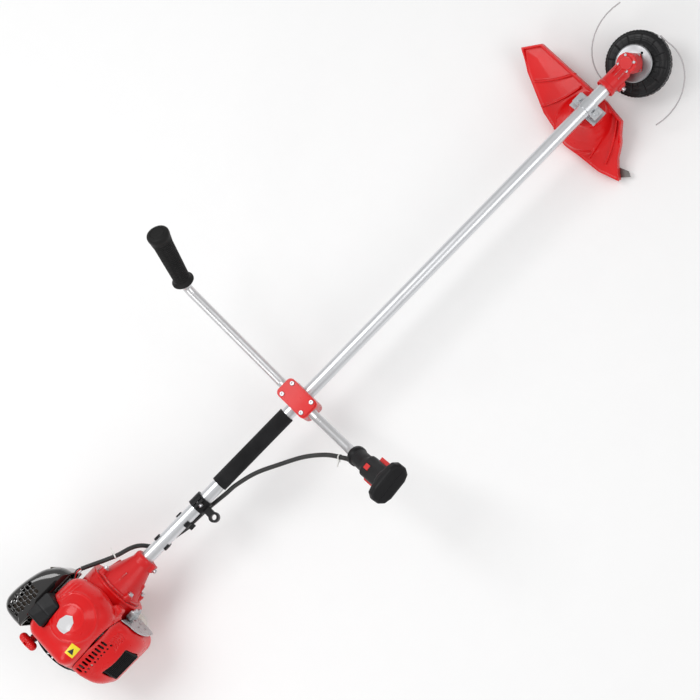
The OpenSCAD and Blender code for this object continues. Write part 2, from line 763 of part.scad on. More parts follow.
// ---- carburetor and filter ----
module carburetor() {
  color("gray") place() difference() {
    union() {
      translate([-562, 42.1, 37]) cube([32, 21, 27]);
      x_pin([-531, carb_y, lever_z], 5, 3);
    }
    y_pin([cylinder_x, 60, port_z], 7, 100, center = true);
    translate([cylinder_x, carb_y, 30]) cylinder(r = 9.1, h = 12.2);
    for (x = [-570, -536]) x_pin([x, carb_y, lever_z], 2.04, 12);
  }
}
module carb_throttle_lever() {
  color("silver") place() translate([0, carb_y, lever_z]) {
    x_cyl(-534, -524.5, 2);
    difference() {
      union() {
        x_cyl(-527.5, -526, 6);
        translate([-527.5, -3, 0]) cube([1.5, 6, 12]);
        x_pin([-527.5, 0, 12], 3, 1.5);
      }
      x_pin([-530, 0, 12], 1.2, 5);
    }
  }
}
module choke_lever() {
  color([0.1, 0.1, 0.1]) place() translate([0, carb_y, lever_z]) {
    x_cyl(-566, -560, 2);
    x_cyl(-565.5, -563, 6);
    translate([-565.5, -3, -24]) cube([2.5, 6, 24]);
    translate([-569, -5, -30]) cube([6, 10, 9]);
  }
}
module primer_bulb() {
  color([0.75, 0.2, 0.15]) place() translate([cylinder_x, carb_y, 0]) {
    translate([0, 0, 30]) cylinder(r = 9, h = 7.9);
    intersection() {
      translate([0, 0, 30.1]) sphere(r = 9);
      translate([-20, -20, 15]) cube([40, 40, 15.2]);
    }
  }
}
module filter_form(y, inset, corner_h) {
  hull() {
    for (x = [-640, -535]) for (z = [20, 74])
      translate([x, y, z]) rotate([-90, 0, 0]) cylinder(r = 18 - inset, h = corner_h, $fn = 32);
    for (x = [-626, -552])
      translate([x, y, 47]) rotate([-90, 0, 0]) cylinder(r = 30 - inset, h = 61, $fn = 32);
  }
}
module air_filter_cover() {
  color([0.05, 0.05, 0.05]) place() difference() {
    filter_form(64, 0, 44);
    filter_form(60, 3, 45);
  }
}

// ---- muffler ----
module muffler() {
  color("gray") place() {
    round_block([-612, -104, -38], [-522, -66, 32], 10);
    round_block([-600, -82, 31], [-530, -66, 62], 7);
    difference() {
      y_pin([cylinder_x, -42.1, port_z], 9.5, 25);
      y_pin([cylinder_x, -42, port_z], 7.5, 25);
    }
  }
}
// Rounded form growing to -y: wide corner posts and longer, thinner middle posts
module muffler_form(y, corner_r, corner_h, middle_r, middle_h) {
  hull() {
    for (x = [-624, -530]) for (z = [-39, 66]) y_pin([x, y, z], corner_r, corner_h, $fn = 32);
    for (x = [-612, -536]) for (z = [-28, 44]) y_pin([x, y, z], middle_r, middle_h, $fn = 32);
  }
}
module muffler_guard() {
  color("red") place() difference() {
    muffler_form(-64.5, 19, 34, 14, 51);
    muffler_form(-62, 16, 35, 11.5, 50.5);
    for (i = [0 : 8]) translate([-616 + i * 8.3, -90, 70]) cube([4, 20, 20]);
    for (i = [0 : 3]) translate([-600, -130, -14 + i * 10]) cube([50, 30, 4]);
  }
}

// ---- covers ----
module top_form(z, inset, extra) {
  hull() {
    for (x = [-626, -520]) for (y = [-42, 42])
      translate([x, y, z]) cylinder(r = 20 - inset, h = 30 + extra, $fn = 32);
    translate([-548, -8, z]) cylinder(r = 52 - inset, h = 66 + extra, $fn = 40);
    translate([-548, -8, 120]) cylinder(r = 40 - inset, h = 28 - inset, $fn = 40);
    for (y = [-30, 30]) translate([-622, y, 92]) sphere(r = 23 - inset, $fn = 28);
  }
}
module top_cover() {
  color("red") place() difference() {
    top_form(64.2, 0, 0);
    top_form(60, 3, 2);
    translate([-609, 20, 96]) cube([58, 60, 60]); // opening for the plug cover
  }
}
module plug_cover() {
  color([0.07, 0.07, 0.07]) place() difference() {
    round_block([-607, 27, 100.1], [-553, 60, 136.3], 6);
    round_block([-604.5, 29.5, 100], [-555.5, 57.5, 133], 4);
  }
}

// ---- starter ----
// Frame of the starter pull: z along the pull, back and up from the guide
module pull() { along([-660, 42, 22], [-660.6, 42, 22.8]) children(); }
module starter_housing() {
  color([0.12, 0.12, 0.12]) place() difference() {
    union() {
      x_revolve([[-583.8, 58], [-583.8, 62], [-644, 62], [-657, 56], [-664, 42], [-664, 0],
        [-659.5, 0], [-659.5, 40], [-653, 52], [-644, 58]]);
      x_cyl(-660, -624, 5);
      pull() translate([0, 0, -10]) cylinder(r = 8, h = 19);
    }
    pull() translate([0, 0, -20]) cylinder(r = 2.6, h = 40);
    // slots, left out at the pull guide
    for (i = [0 : 11]) if (i != 10)
      rotate([i * 30, 0, 0]) translate([-670, -2, 18]) cube([20, 4, 16]);
  }
}
module starter_pulley() {
  color("dimgray") place() difference() {
    union() {
      x_revolve([[-646, 0], [-634, 0], [-634, 31], [-636, 31], [-638, 28], [-642, 28],
        [-644, 31], [-646, 31]]);
      x_cyl(-635, -602, 12);
    }
    x_cyl(-670, -620, 5.04);
    x_cyl(-610, -600, 9);
  }
}
module starter_handle() {
  color("red") place() pull() {
    translate([0, 0, 9.4]) cylinder(r = 6, h = 3);
    translate([0, 0, 11]) cylinder(r = 5, h = 10);
    hull() for (y = [-12, 12]) translate([0, y, 22]) sphere(r = 8, $fn = 28);
  }
}

// ---- fuel tank ----
// Filler frame: z to the left along the neck
module filler(y) { translate([-638, y, -90]) rotate([-90, 0, 0]) children(); }
module fuel_tank() {
  color("whitesmoke") place() difference() {
    union() {
      round_block([-662, -70, -120], [-518, 70, -64.1], 16);
      filler(60) cylinder(r = 14, h = 22);
    }
    round_block([-659, -67, -117], [-521, 67, -67.1], 13);
    filler(50) cylinder(r = 11, h = 40);
  }
}
module fuel_cap() {
  color([0.1, 0.1, 0.1]) place() filler(0) {
    difference() {
      translate([0, 0, 71.2]) cylinder(r = 19, h = 17);
      translate([0, 0, 70]) cylinder(r = 14.05, h = 13);
    }
    for (i = [0 : 11]) rotate([0, 0, i * 30]) translate([18.4, -1.5, 73]) cube([2, 3, 14]);
  }
}

drive_tube();
foam_sleeve();
harness_hanger();
cable_clips();
clamp_base();
clamp_saddle();
clamp_cap();
socket_screws();
handlebar_left();
handlebar_right();
left_grip();
throttle_grip_upper();
throttle_grip_lower();
small_screws();
throttle_trigger();
trigger_lockout();
stop_switch();
cable_loom();
cable_ties();
gearcase();
input_pinion();
bevel_gear();
output_shaft();
ball_bearings();
flange_adapter();
guard_bracket();
hex_bolts();
guard();
line_cutter_blade();
head_housing();
head_cover();
spool();
bump_spring();
trimmer_lines();
drive_shaft();
shaft_bushings();
clutch_drum();
clutch_housing();
clutch_shoe_a();
clutch_shoe_b();
flywheel_fan();
crankcase();
crankshaft();
piston();
cylinder_node();  // cylinder
spark_plug();
carburetor();
carb_throttle_lever();
choke_lever();
primer_bulb();
air_filter_cover();
muffler();
muffler_guard();
top_cover();
plug_cover();
starter_housing();
starter_pulley();
starter_handle();
fuel_tank();
fuel_cap();
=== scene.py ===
# A petrol grass trimmer. The drive tube runs level along X, with the engine at the rear (-X)
# and the gear head, guard and line head at the front (+X). +Y is left, +Z is up.
# Detailed shells stand in for plain CAD pieces; the CAD pieces that stay get a finish.
import json
import math
import bmesh
import bpy
import numpy as np
from mathutils import Matrix, Vector


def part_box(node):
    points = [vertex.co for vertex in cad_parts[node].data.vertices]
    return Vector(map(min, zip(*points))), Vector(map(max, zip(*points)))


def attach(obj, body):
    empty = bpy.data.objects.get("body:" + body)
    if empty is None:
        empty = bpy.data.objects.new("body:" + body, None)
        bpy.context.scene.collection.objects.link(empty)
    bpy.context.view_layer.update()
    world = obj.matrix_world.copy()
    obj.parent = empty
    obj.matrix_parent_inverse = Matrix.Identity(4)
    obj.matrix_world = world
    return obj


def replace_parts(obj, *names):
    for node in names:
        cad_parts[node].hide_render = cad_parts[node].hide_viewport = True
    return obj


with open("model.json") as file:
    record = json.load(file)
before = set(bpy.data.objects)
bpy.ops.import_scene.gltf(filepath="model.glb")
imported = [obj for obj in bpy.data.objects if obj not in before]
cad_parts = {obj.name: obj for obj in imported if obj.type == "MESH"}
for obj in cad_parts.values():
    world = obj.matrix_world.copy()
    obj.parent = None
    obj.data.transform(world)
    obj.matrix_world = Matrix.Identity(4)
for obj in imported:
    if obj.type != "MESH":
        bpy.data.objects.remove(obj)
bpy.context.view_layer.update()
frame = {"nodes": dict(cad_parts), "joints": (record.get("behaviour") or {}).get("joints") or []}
NODES = frame["nodes"]

# ---------------------------------------------------------------- the working frame
# Millimetres, from the handle clamp on the tube axis. The row frame is in metres.
tube_low, tube_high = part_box("drive_tube")
CLAMP_X = tube_low.x + 0.446                      # m, clamp ahead of the tube's rear end
AXIS_Z = (tube_low.z + tube_high.z) / 2           # m
TUBE_R = (tube_high.z - tube_low.z) * 500         # mm
head_joint = {j["name"]: j for j in frame["joints"]}["head_spin"]
HEAD_X = (head_joint["pos_m"][0] - CLAMP_X) * 1000
TILT = math.acos(Vector(head_joint["axis"]).z)
COS_TILT, SIN_TILT = math.cos(TILT), math.sin(TILT)


def to_row(point):
    """Working frame (mm) to the row frame (m)."""
    return Vector((point[0] / 1000 + CLAMP_X, point[1] / 1000, point[2] / 1000 + AXIS_Z))


def along(start, end):
    """Frame (mm) at start with z towards end and x kept in the upright plane through z."""
    start, end = Vector(start), Vector(end)
    z = (end - start).normalized()
    polar, turn = math.acos(z.z), math.atan2(z.y, z.x)
    x = Vector((math.cos(polar) * math.cos(turn), math.cos(polar) * math.sin(turn),
                -math.sin(polar)))
    y = Vector((-math.sin(turn), math.cos(turn), 0))
    return Matrix(((x.x, y.x, z.x, start.x), (x.y, y.y, z.y, start.y),
                   (x.z, y.z, z.z, start.z), (0, 0, 0, 1)))


HEAD = Matrix(((COS_TILT, 0, -SIN_TILT, HEAD_X), (0, 1, 0, 0),
               (SIN_TILT, 0, COS_TILT, 0), (0, 0, 0, 1)))
HEAD_STACK = HEAD @ Matrix.Translation((0, 0, -9))
THROTTLE_GRIP = along((5.3, -163, 83.4), (14.3, -251, 167.4))
bar_bend, bar_end = Vector((5, 277.8, 112.2)), Vector((41.6, 344.8, 233))
LEFT_GRIP = along(bar_bend + (bar_end - bar_bend).normalized() * 16, bar_end)
PULL = along((-660, 42, 22), (-660.6, 42, 22.8))


def step(full):
    """Grid step (mm) for the full build."""
    return full


def square_ring(radius):
    """Four places on a circle, at the corners of a square."""
    return [(radius * math.cos(math.radians(a)), radius * math.sin(math.radians(a)))
            for a in (45, 135, 225, 315)]


# ---------------------------------------------------------------- materials
class Shader:
    """A new material with short ways to add and link nodes."""

    def __init__(self, name):
        self.material = bpy.data.materials.new(name)
        self.material.use_nodes = True
        self.tree = self.material.node_tree
        self.surface = self.tree.nodes["Principled BSDF"]
        self.coords = self.tree.nodes.new("ShaderNodeTexCoord")

    def node(self, kind, **settings):
        node = self.tree.nodes.new(kind)
        for key, value in settings.items():
            if key in node.inputs:
                node.inputs[key].default_value = value
            else:
                setattr(node, key, value)
        return node

    def link(self, source, target):
        self.tree.links.new(source, target)

    def noise(self, scale, detail, rough=0.55):
        noise = self.node("ShaderNodeTexNoise", Scale=scale, Detail=detail, Roughness=rough,
                          Distortion=0.0)
        mapping = self.node("ShaderNodeMapping")
        self.link(self.coords.outputs["Object"], mapping.inputs["Vector"])
        self.link(mapping.outputs["Vector"], noise.inputs["Vector"])
        return noise.outputs["Fac"]

    def ramp(self, source, *stops):
        """Grey ramp from two (position, value) stops."""
        ramp = self.node("ShaderNodeValToRGB")
        for element, (position, grey) in zip(ramp.color_ramp.elements, stops):
            element.position = position
            element.color = (grey, grey, grey, 1)
        self.link(source, ramp.inputs["Fac"])
        return ramp.outputs["Color"]

    def mix(self, factor, *colours):
        """Mixes two colours, each an RGB tuple or a socket."""
        mix = self.node("ShaderNodeMix", data_type="RGBA")
        sockets = [s for s in mix.inputs if s.type == "RGBA"]
        for socket, colour in zip(sockets, colours):
            if isinstance(colour, tuple):
                socket.default_value = (*colour, 1)
            else:
                self.link(colour, socket)
        self.link(factor, mix.inputs[0])
        return [s for s in mix.outputs if s.type == "RGBA"][0]


MOTTLE = 18.0                   # scale of the colour drift
GRAIN = (900, 0.04, 0.0002)     # usual surface grain: scale, strength, depth in m
FINE = (500, 0.02, 0.0001)      # grain of the labels


def add_finish(name, colour, rough, metal, coat, drift, grain, rough_drift=0.08, wear=None,
               edge=0.0004, specular=0.5, sheen=0.0, scatter=0.0, transmission=0.0):
    """Finish with drifting colour and roughness, fine grain, rounded edges and edge wear."""
    shader = Shader(name)
    inputs = shader.surface.inputs
    dark = tuple(c * (1 - drift) for c in colour)
    light = tuple(min(1, c * (1 + drift) + drift * 0.02) for c in colour)
    blotches = shader.ramp(shader.noise(MOTTLE, detail=5), (0.3, 0.0), (0.7, 1.0))
    tint = shader.mix(blotches, dark, light)
    bevel = shader.node("ShaderNodeBevel", samples=4, Radius=edge) if edge else None
    if wear:
        geometry = shader.node("ShaderNodeNewGeometry")
        edges = shader.ramp(geometry.outputs["Pointiness"], (0.515, 0.0), (0.56, 1.0))
        scratches = shader.ramp(shader.noise(260, detail=3), (0.45, 0.0), (0.62, 1.0))
        worn = shader.node("ShaderNodeMath", operation="MULTIPLY")
        shader.link(edges, worn.inputs[0])
        shader.link(scratches, worn.inputs[1])
        tint = shader.mix(worn.outputs[0], tint, wear)
    shader.link(tint, inputs["Base Color"])
    inputs["Metallic"].default_value = metal
    roughness = shader.ramp(shader.noise(MOTTLE * 2.3, detail=6),
                            (0.25, max(0.02, rough - rough_drift)),
                            (0.75, min(1, rough + rough_drift)))
    scale, strength, depth = grain
    height = shader.noise(scale, detail=3)
    bump = shader.node("ShaderNodeBump", Strength=strength, Distance=depth)
    shader.link(height, bump.inputs["Height"])
    if bevel:
        shader.link(bevel.outputs["Normal"], bump.inputs["Normal"])
    shader.link(bump.outputs["Normal"], inputs["Normal"])
    shader.link(roughness, inputs["Roughness"])
    inputs["Coat Weight"].default_value = coat
    inputs["Coat Roughness"].default_value = 0.06
    inputs["Specular IOR Level"].default_value = specular
    inputs["Sheen Weight"].default_value = sheen
    inputs["Transmission Weight"].default_value = transmission
    if scatter:
        inputs["Subsurface Weight"].default_value = scatter
        inputs["Subsurface Radius"].default_value = (0.004, 0.004, 0.003)
    return shader.material


# name: (colour, roughness, metallic, coat, colour drift, grain, other settings)
FINISH_TABLE = {
    "red_gloss": ((0.68, 0.004, 0.005), 0.30, 0, 0.22, 0.05, (420, 0.05, 0.0003),
                  dict(rough_drift=0.05, specular=0.28)),
    "red_metal": ((0.62, 0.010, 0.012), 0.38, 0, 0.10, 0.06, (520, 0.10, 0.0003),
                  dict(wear=(0.42, 0.30, 0.30), specular=0.32)),
    "red_plastic": ((0.68, 0.005, 0.006), 0.34, 0, 0.12, 0.06, (700, 0.08, 0.0003),
                    dict(specular=0.28)),
    "red_button": ((0.70, 0.012, 0.010), 0.38, 0, 0.1, 0.05, (700, 0.08, 0.0003), {}),
    "black_matte": ((0.006, 0.006, 0.007), 0.44, 0, 0, 0.2, (1500, 0.25, 0.0002),
                    dict(specular=0.22)),
    "black_head": ((0.005, 0.005, 0.006), 0.38, 0, 0, 0.2, (1200, 0.15, 0.0002),
                   dict(wear=(0.06, 0.06, 0.06), specular=0.28)),
    "black_gloss": ((0.010, 0.009, 0.009), 0.10, 0, 0.8, 0.1, (300, 0.03, 0.0004),
                    dict(rough_drift=0.03)),
    "rubber": ((0.006, 0.006, 0.006), 0.55, 0, 0, 0.2, (1300, 0.35, 0.0003),
               dict(specular=0.20)),
    "foam": ((0.010, 0.010, 0.011), 0.88, 0, 0, 0.3, (1900, 0.9, 0.0006),
             dict(sheen=0.04, edge=0.0012, specular=0.22)),
    "tube": ((0.70, 0.71, 0.73), 0.36, 1.0, 0, 0.02, GRAIN, dict(rough_drift=0.03, edge=0.0)),
    "bar": ((0.68, 0.68, 0.69), 0.34, 1.0, 0, 0.04, GRAIN, dict(rough_drift=0.06, edge=0.0)),
    "steel": ((0.52, 0.52, 0.53), 0.30, 1.0, 0, 0.08, (600, 0.1, 0.0002),
              dict(rough_drift=0.1)),
    "chrome": ((0.56, 0.56, 0.57), 0.26, 1.0, 0, 0.05, (500, 0.06, 0.0002),
               dict(rough_drift=0.06)),
    "washer": ((0.30, 0.30, 0.31), 0.36, 1.0, 0, 0.08, (500, 0.1, 0.0002),
               dict(rough_drift=0.1)),
    "zinc": ((0.62, 0.63, 0.65), 0.40, 1.0, 0, 0.12, (420, 0.2, 0.0003),
             dict(rough_drift=0.12)),
    "cast": ((0.46, 0.47, 0.48), 0.50, 1.0, 0, 0.12, (480, 0.55, 0.0005),
             dict(rough_drift=0.1)),
    "dark_steel": ((0.16, 0.155, 0.15), 0.45, 1.0, 0, 0.15, (500, 0.2, 0.0003), {}),
    "muffler": ((0.10, 0.095, 0.09), 0.62, 0.6, 0, 0.2, (420, 0.5, 0.0004), {}),
    "lining": ((0.09, 0.07, 0.055), 0.8, 0, 0, 0.25, (900, 0.6, 0.0004), {}),
    "cable": ((0.018, 0.018, 0.018), 0.42, 0, 0, 0.2, (1200, 0.1, 0.0002), {}),
    "nylon": ((0.46, 0.44, 0.45), 0.30, 0, 0.2, 0.03, (900, 0.06, 0.0002),
              dict(transmission=0.1, edge=0.0)),
    "white_plastic": ((0.80, 0.80, 0.77), 0.38, 0, 0.1, 0.04, (900, 0.08, 0.0002),
                      dict(scatter=0.05)),
    "tank": ((0.78, 0.77, 0.71), 0.42, 0, 0.05, 0.05, (700, 0.18, 0.0003),
             dict(scatter=0.25, transmission=0.12)),
    "ceramic": ((0.86, 0.86, 0.84), 0.12, 0, 0.5, 0.03, (300, 0.03, 0.0002), {}),
    "label_white": ((0.62, 0.62, 0.63), 0.25, 0, 0.4, 0.03, FINE, dict(edge=0.0)),
    "label_yellow": ((0.90, 0.72, 0.01), 0.28, 0, 0.4, 0.03, FINE, dict(edge=0.0)),
    "label_dark": ((0.02, 0.02, 0.02), 0.3, 0, 0.2, 0.03, FINE, dict(edge=0.0)),
    # two spare finishes, on no piece
    "label_red": ((0.6, 0.01, 0.01), 0.3, 0, 0.2, 0.03, FINE, dict(edge=0.0)),
    "brass": ((0.62, 0.42, 0.16), 0.25, 1.0, 0, 0.08, GRAIN, {}),
}
FINISHES = {name: add_finish(name, *row, **extra)
            for name, (*row, extra) in FINISH_TABLE.items()}

# finish: the CAD pieces that take it
CAD_PIECES = {
    "tube": "drive_tube",
    "foam": "foam_sleeve",
    "bar": "handlebar_left handlebar_right",
    "rubber": "left_grip",
    "cable": "cable_loom",
    "white_plastic": "cable_ties",
    "black_matte": "harness_hanger cable_clips throttle_grip_upper throttle_grip_lower "
                   "shaft_bushings choke_lever plug_cover starter_housing starter_pulley "
                   "fuel_cap",
    "black_gloss": "air_filter_cover",
    "black_head": "head_housing head_cover",
    "red_metal": "clamp_base clamp_saddle gearcase clutch_housing",
    "red_gloss": "clamp_cap muffler_guard top_cover starter_handle",
    "red_plastic": "guard spool primer_bulb",
    "red_button": "throttle_trigger trigger_lockout stop_switch",
    "zinc": "socket_screws guard_bracket hex_bolts",
    "washer": "small_screws flange_adapter",
    "steel": "input_pinion bevel_gear output_shaft bump_spring drive_shaft crankshaft "
             "carb_throttle_lever",
    "chrome": "ball_bearings",
    "dark_steel": "line_cutter_blade clutch_drum",
    "cast": "flywheel_fan crankcase piston cylinder carburetor",
    "lining": "clutch_shoe_a clutch_shoe_b",
    "nylon": "trimmer_lines",
    "ceramic": "spark_plug",
    "muffler": "muffler",
    "tank": "fuel_tank",
}
finish_of = {piece: finish for finish, pieces in CAD_PIECES.items() for piece in pieces.split()}
for node_name, node in NODES.items():
    node.data.materials.clear()
    node.data.materials.append(FINISHES[finish_of[node_name]])


# ---------------------------------------------------------------- mesh tools
def place(name, mesh, body, slot):
    """Links a mesh as an object riding on a body."""
    item = bpy.data.objects.new(name, mesh)
    bpy.context.scene.collection.objects.link(item)
    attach(item, body)
    return item


def add_mesh(name, points, faces, body, slot, finish=None):
    mesh = bpy.data.meshes.new(name)
    mesh.from_pydata([tuple(p) for p in points], [], faces)
    mesh.validate(clean_customdata=False)
    mesh.update()
    if finish:
        mesh.materials.append(FINISHES[finish])
    mesh.polygons.foreach_set("use_smooth", [True] * len(mesh.polygons))
    return place(name, mesh, body, slot)


def sharpen(item, degrees):
    item.data.set_sharp_from_angle(angle=math.radians(degrees))


def sweep(name, path, radii, finish, segments, slot=None):
    """Round capped tube along a path (mm) that doesn't start upright, one radius per point."""
    last = len(path) - 1
    tangents = [(path[min(i + 1, last)] - path[max(i - 1, 0)]).normalized()
                for i in range(last + 1)]
    side = Vector((0, 0, 1))
    points, faces = [], []
    for centre, tangent, radius in zip(path, tangents, radii):
        side = (side - tangent * side.dot(tangent)).normalized()
        if not points:
            side = (side - tangent * 0).normalized() if False else side
        across = tangent.cross(side)
        for k in range(segments):
            a = 2 * math.pi * k / segments
            points.append(to_row(centre + (side * math.cos(a) + across * math.sin(a)) * radius))
    for i in range(last):
        for k in range(segments):
            a, b = i * segments + k, i * segments + (k + 1) % segments
            faces.append((a, b, b + segments, a + segments))
    faces.append(tuple(reversed(range(segments))))
    faces.append(tuple(last * segments + k for k in range(segments)))
    item = add_mesh(name, points, faces, "frame", slot, finish)
    sharpen(item, 50)
    return item


def lathe(name, profile, finish, matrix, segments, sharp, body="frame", slot=None, shape=None):
    """Turns (radius, z) points about z; shape(angle, radius, z) may change the radius."""
    closed = profile[0] == profile[-1]
    stations = profile[:-1] if closed else profile
    points, faces, rings = [], [], []
    for r, z in stations:
        first = len(points)
        if r < 1e-6:
            points.append(Vector((0, 0, z)))
            rings.append([first] * segments)
            continue
        for k in range(segments):
            a = 2 * math.pi * k / segments
            radius = shape(a, r, z) if shape else r
            points.append(Vector((radius * math.cos(a), radius * math.sin(a), z)))
        rings.append(list(range(first, first + segments)))
    for j in range(len(rings) if closed else len(rings) - 1):
        ring, after = rings[j], rings[(j + 1) % len(rings)]
        for k in range(segments):
            n = (k + 1) % segments
            # corners that meet on the axis count once
            corners = list(dict.fromkeys((ring[k], ring[n], after[n], after[k])))
            if len(corners) > 2:
                faces.append(corners)
    item = add_mesh(name, [to_row(matrix @ p) for p in points], faces, body, slot, finish)
    bm = bmesh.new()
    bm.from_mesh(item.data)
    bmesh.ops.recalc_face_normals(bm, faces=bm.faces)
    bm.to_mesh(item.data)
    bm.free()
    item.data.update()
    sharpen(item, sharp)
    return item


def joined(name, pieces, body, slot):
    """Joins pieces into one object."""
    points, faces, indices, materials = [], [], [], []
    for piece in pieces:
        base = len(points)
        points += [tuple(piece.matrix_world @ v.co) for v in piece.data.vertices]
        for material in piece.data.materials:
            if material not in materials:
                materials.append(material)
        for face in piece.data.polygons:
            faces.append([base + i for i in face.vertices])
            indices.append(materials.index(piece.data.materials[face.material_index]))
    for piece in pieces:
        bpy.data.objects.remove(piece)
    item = add_mesh(name, points, faces, body, slot)
    for material in materials:
        item.data.materials.append(material)
    item.data.polygons.foreach_set("material_index", indices)
    sharpen(item, 38)


def curve_through(knots, steps):
    """Catmull-Rom curve with a number of steps between knots."""
    knots = [Vector(k) for k in knots]
    out = []
    for i in range(len(knots) - 1):
        a, b, c = knots[max(i - 1, 0)], knots[i], knots[i + 1]
        d = knots[min(i + 2, len(knots) - 1)]
        for k in range(steps):
            t = k / steps
            out.append(0.5 * (2 * b + (c - a) * t + (2 * a - 5 * b + 4 * c - d) * t * t
                              + (3 * b - a - 3 * c + d) * t ** 3))
    out.append(knots[-1])
    return out


def even_steps(path, spacing):
    """The same path with points at an even spacing."""
    lengths = [0.0]
    for i in range(1, len(path)):
        lengths.append(lengths[-1] + (path[i] - path[i - 1]).length)
    coords = np.array([tuple(p) for p in path])
    return [Vector([float(np.interp(s, lengths, coords[:, axis])) for axis in range(3)])
            for s in np.linspace(0, lengths[-1], int(lengths[-1] / spacing) + 1)]


# ---------------------------------------------------------------- shapes from distance fields
# Shapes are distances in mm on a grid of X, Y, Z, below zero inside.
f32 = np.float32


def soft_min(a, b, reach):
    """Union with a fillet."""
    h = np.clip(0.5 + 0.5 * (b - a) / reach, 0, 1)
    return b * (1 - h) + a * h - reach * h * (1 - h)


def soft_max(a, b, reach):
    """Overlap with a rounded edge."""
    return -soft_min(-a, -b, reach)


def overlap(solid, *others):
    for other in others:
        solid = np.maximum(solid, other)
    return solid


def cut(solid, *holes):
    for hole in holes:
        solid = np.maximum(solid, -hole)
    return solid


def between(value, low, high):
    return np.maximum(low - value, value - high)


def crest(offset, width):
    """Soft ridge profile, 1 at offset 0."""
    return np.exp(-((offset / width) ** 2))


def radial(a, b):
    return np.sqrt(a * a + b * b)


def turned(a, b, angle):
    """Plane coordinates along and across a direction."""
    c, s = math.cos(angle), math.sin(angle)
    return a * c + b * s, -a * s + b * c


def box(X, Y, Z, centre, half, rounding=0.0):
    qx, qy, qz = (np.abs(v - c) - (h - rounding) for v, c, h in zip((X, Y, Z), centre, half))
    outside = np.sqrt(np.maximum(qx, 0) ** 2 + np.maximum(qy, 0) ** 2 + np.maximum(qz, 0) ** 2)
    return outside + np.minimum(np.maximum(qx, np.maximum(qy, qz)), 0) - rounding


def ellipsoid(X, Y, Z, centre, half):
    a, b, c = ((v - m) / h for v, m, h in zip((X, Y, Z), centre, half))
    k = np.sqrt(a * a + b * b + c * c)
    slope = np.sqrt((a / half[0]) ** 2 + (b / half[1]) ** 2 + (c / half[2]) ** 2) + 1e-6
    return k * (k - 1) / slope


def cylinder(X, Y, Z, start, end, radius, edge=0.0):
    """Flat-ended cylinder with rounded edges."""
    p, q = np.array(start, float), np.array(end, float)
    length = np.linalg.norm(q - p)
    d = (q - p) / length
    t = (X - p[0]) * d[0] + (Y - p[1]) * d[1] + (Z - p[2]) * d[2]
    rx, ry, rz = X - p[0] - t * d[0], Y - p[1] - t * d[1], Z - p[2] - t * d[2]
    out = np.sqrt(rx * rx + ry * ry + rz * rz) - (radius - edge)
    past = np.abs(t - length / 2) - (length / 2 - edge)
    return (np.sqrt(np.maximum(out, 0) ** 2 + np.maximum(past, 0) ** 2)
            + np.minimum(np.maximum(out, past), 0) - edge)


def x_rod(X, Y, Z, start, end, radius, edge=0.0, centre=(0, 0)):
    return cylinder(X, Y, Z, (start, *centre), (end, *centre), radius, edge)


def z_rod(X, Y, Z, start, end, radius, edge=0.0, centre=(0, 0)):
    return cylinder(X, Y, Z, (*centre, start), (*centre, end), radius, edge)


def capsule(X, Y, Z, start, end, radius):
    p, q = np.array(start, float), np.array(end, float)
    d = q - p
    t = np.clip(((X - p[0]) * d[0] + (Y - p[1]) * d[1] + (Z - p[2]) * d[2]) / (d @ d), 0, 1)
    return np.sqrt((X - p[0] - t * d[0]) ** 2 + (Y - p[1] - t * d[1]) ** 2
                   + (Z - p[2] - t * d[2]) ** 2) - radius


def polygon(U, V, corners):
    """Signed distance to a polygon in a plane."""
    squared = np.full(U.shape, 1e9, f32)
    sign = np.ones(U.shape, f32)
    for i, (ax, ay) in enumerate(corners):
        bx, by = corners[i - 1]
        ex, ey = bx - ax, by - ay
        wx, wy = U - ax, V - ay
        t = np.clip((wx * ex + wy * ey) / (ex * ex + ey * ey), 0, 1)
        squared = np.minimum(squared, (wx - ex * t) ** 2 + (wy - ey * t) ** 2)
        above, below, left = V >= ay, V < by, ex * wy > ey * wx
        sign = np.where((above & below & left) | (~above & ~below & ~left), -sign, sign)
    return sign * np.sqrt(squared)


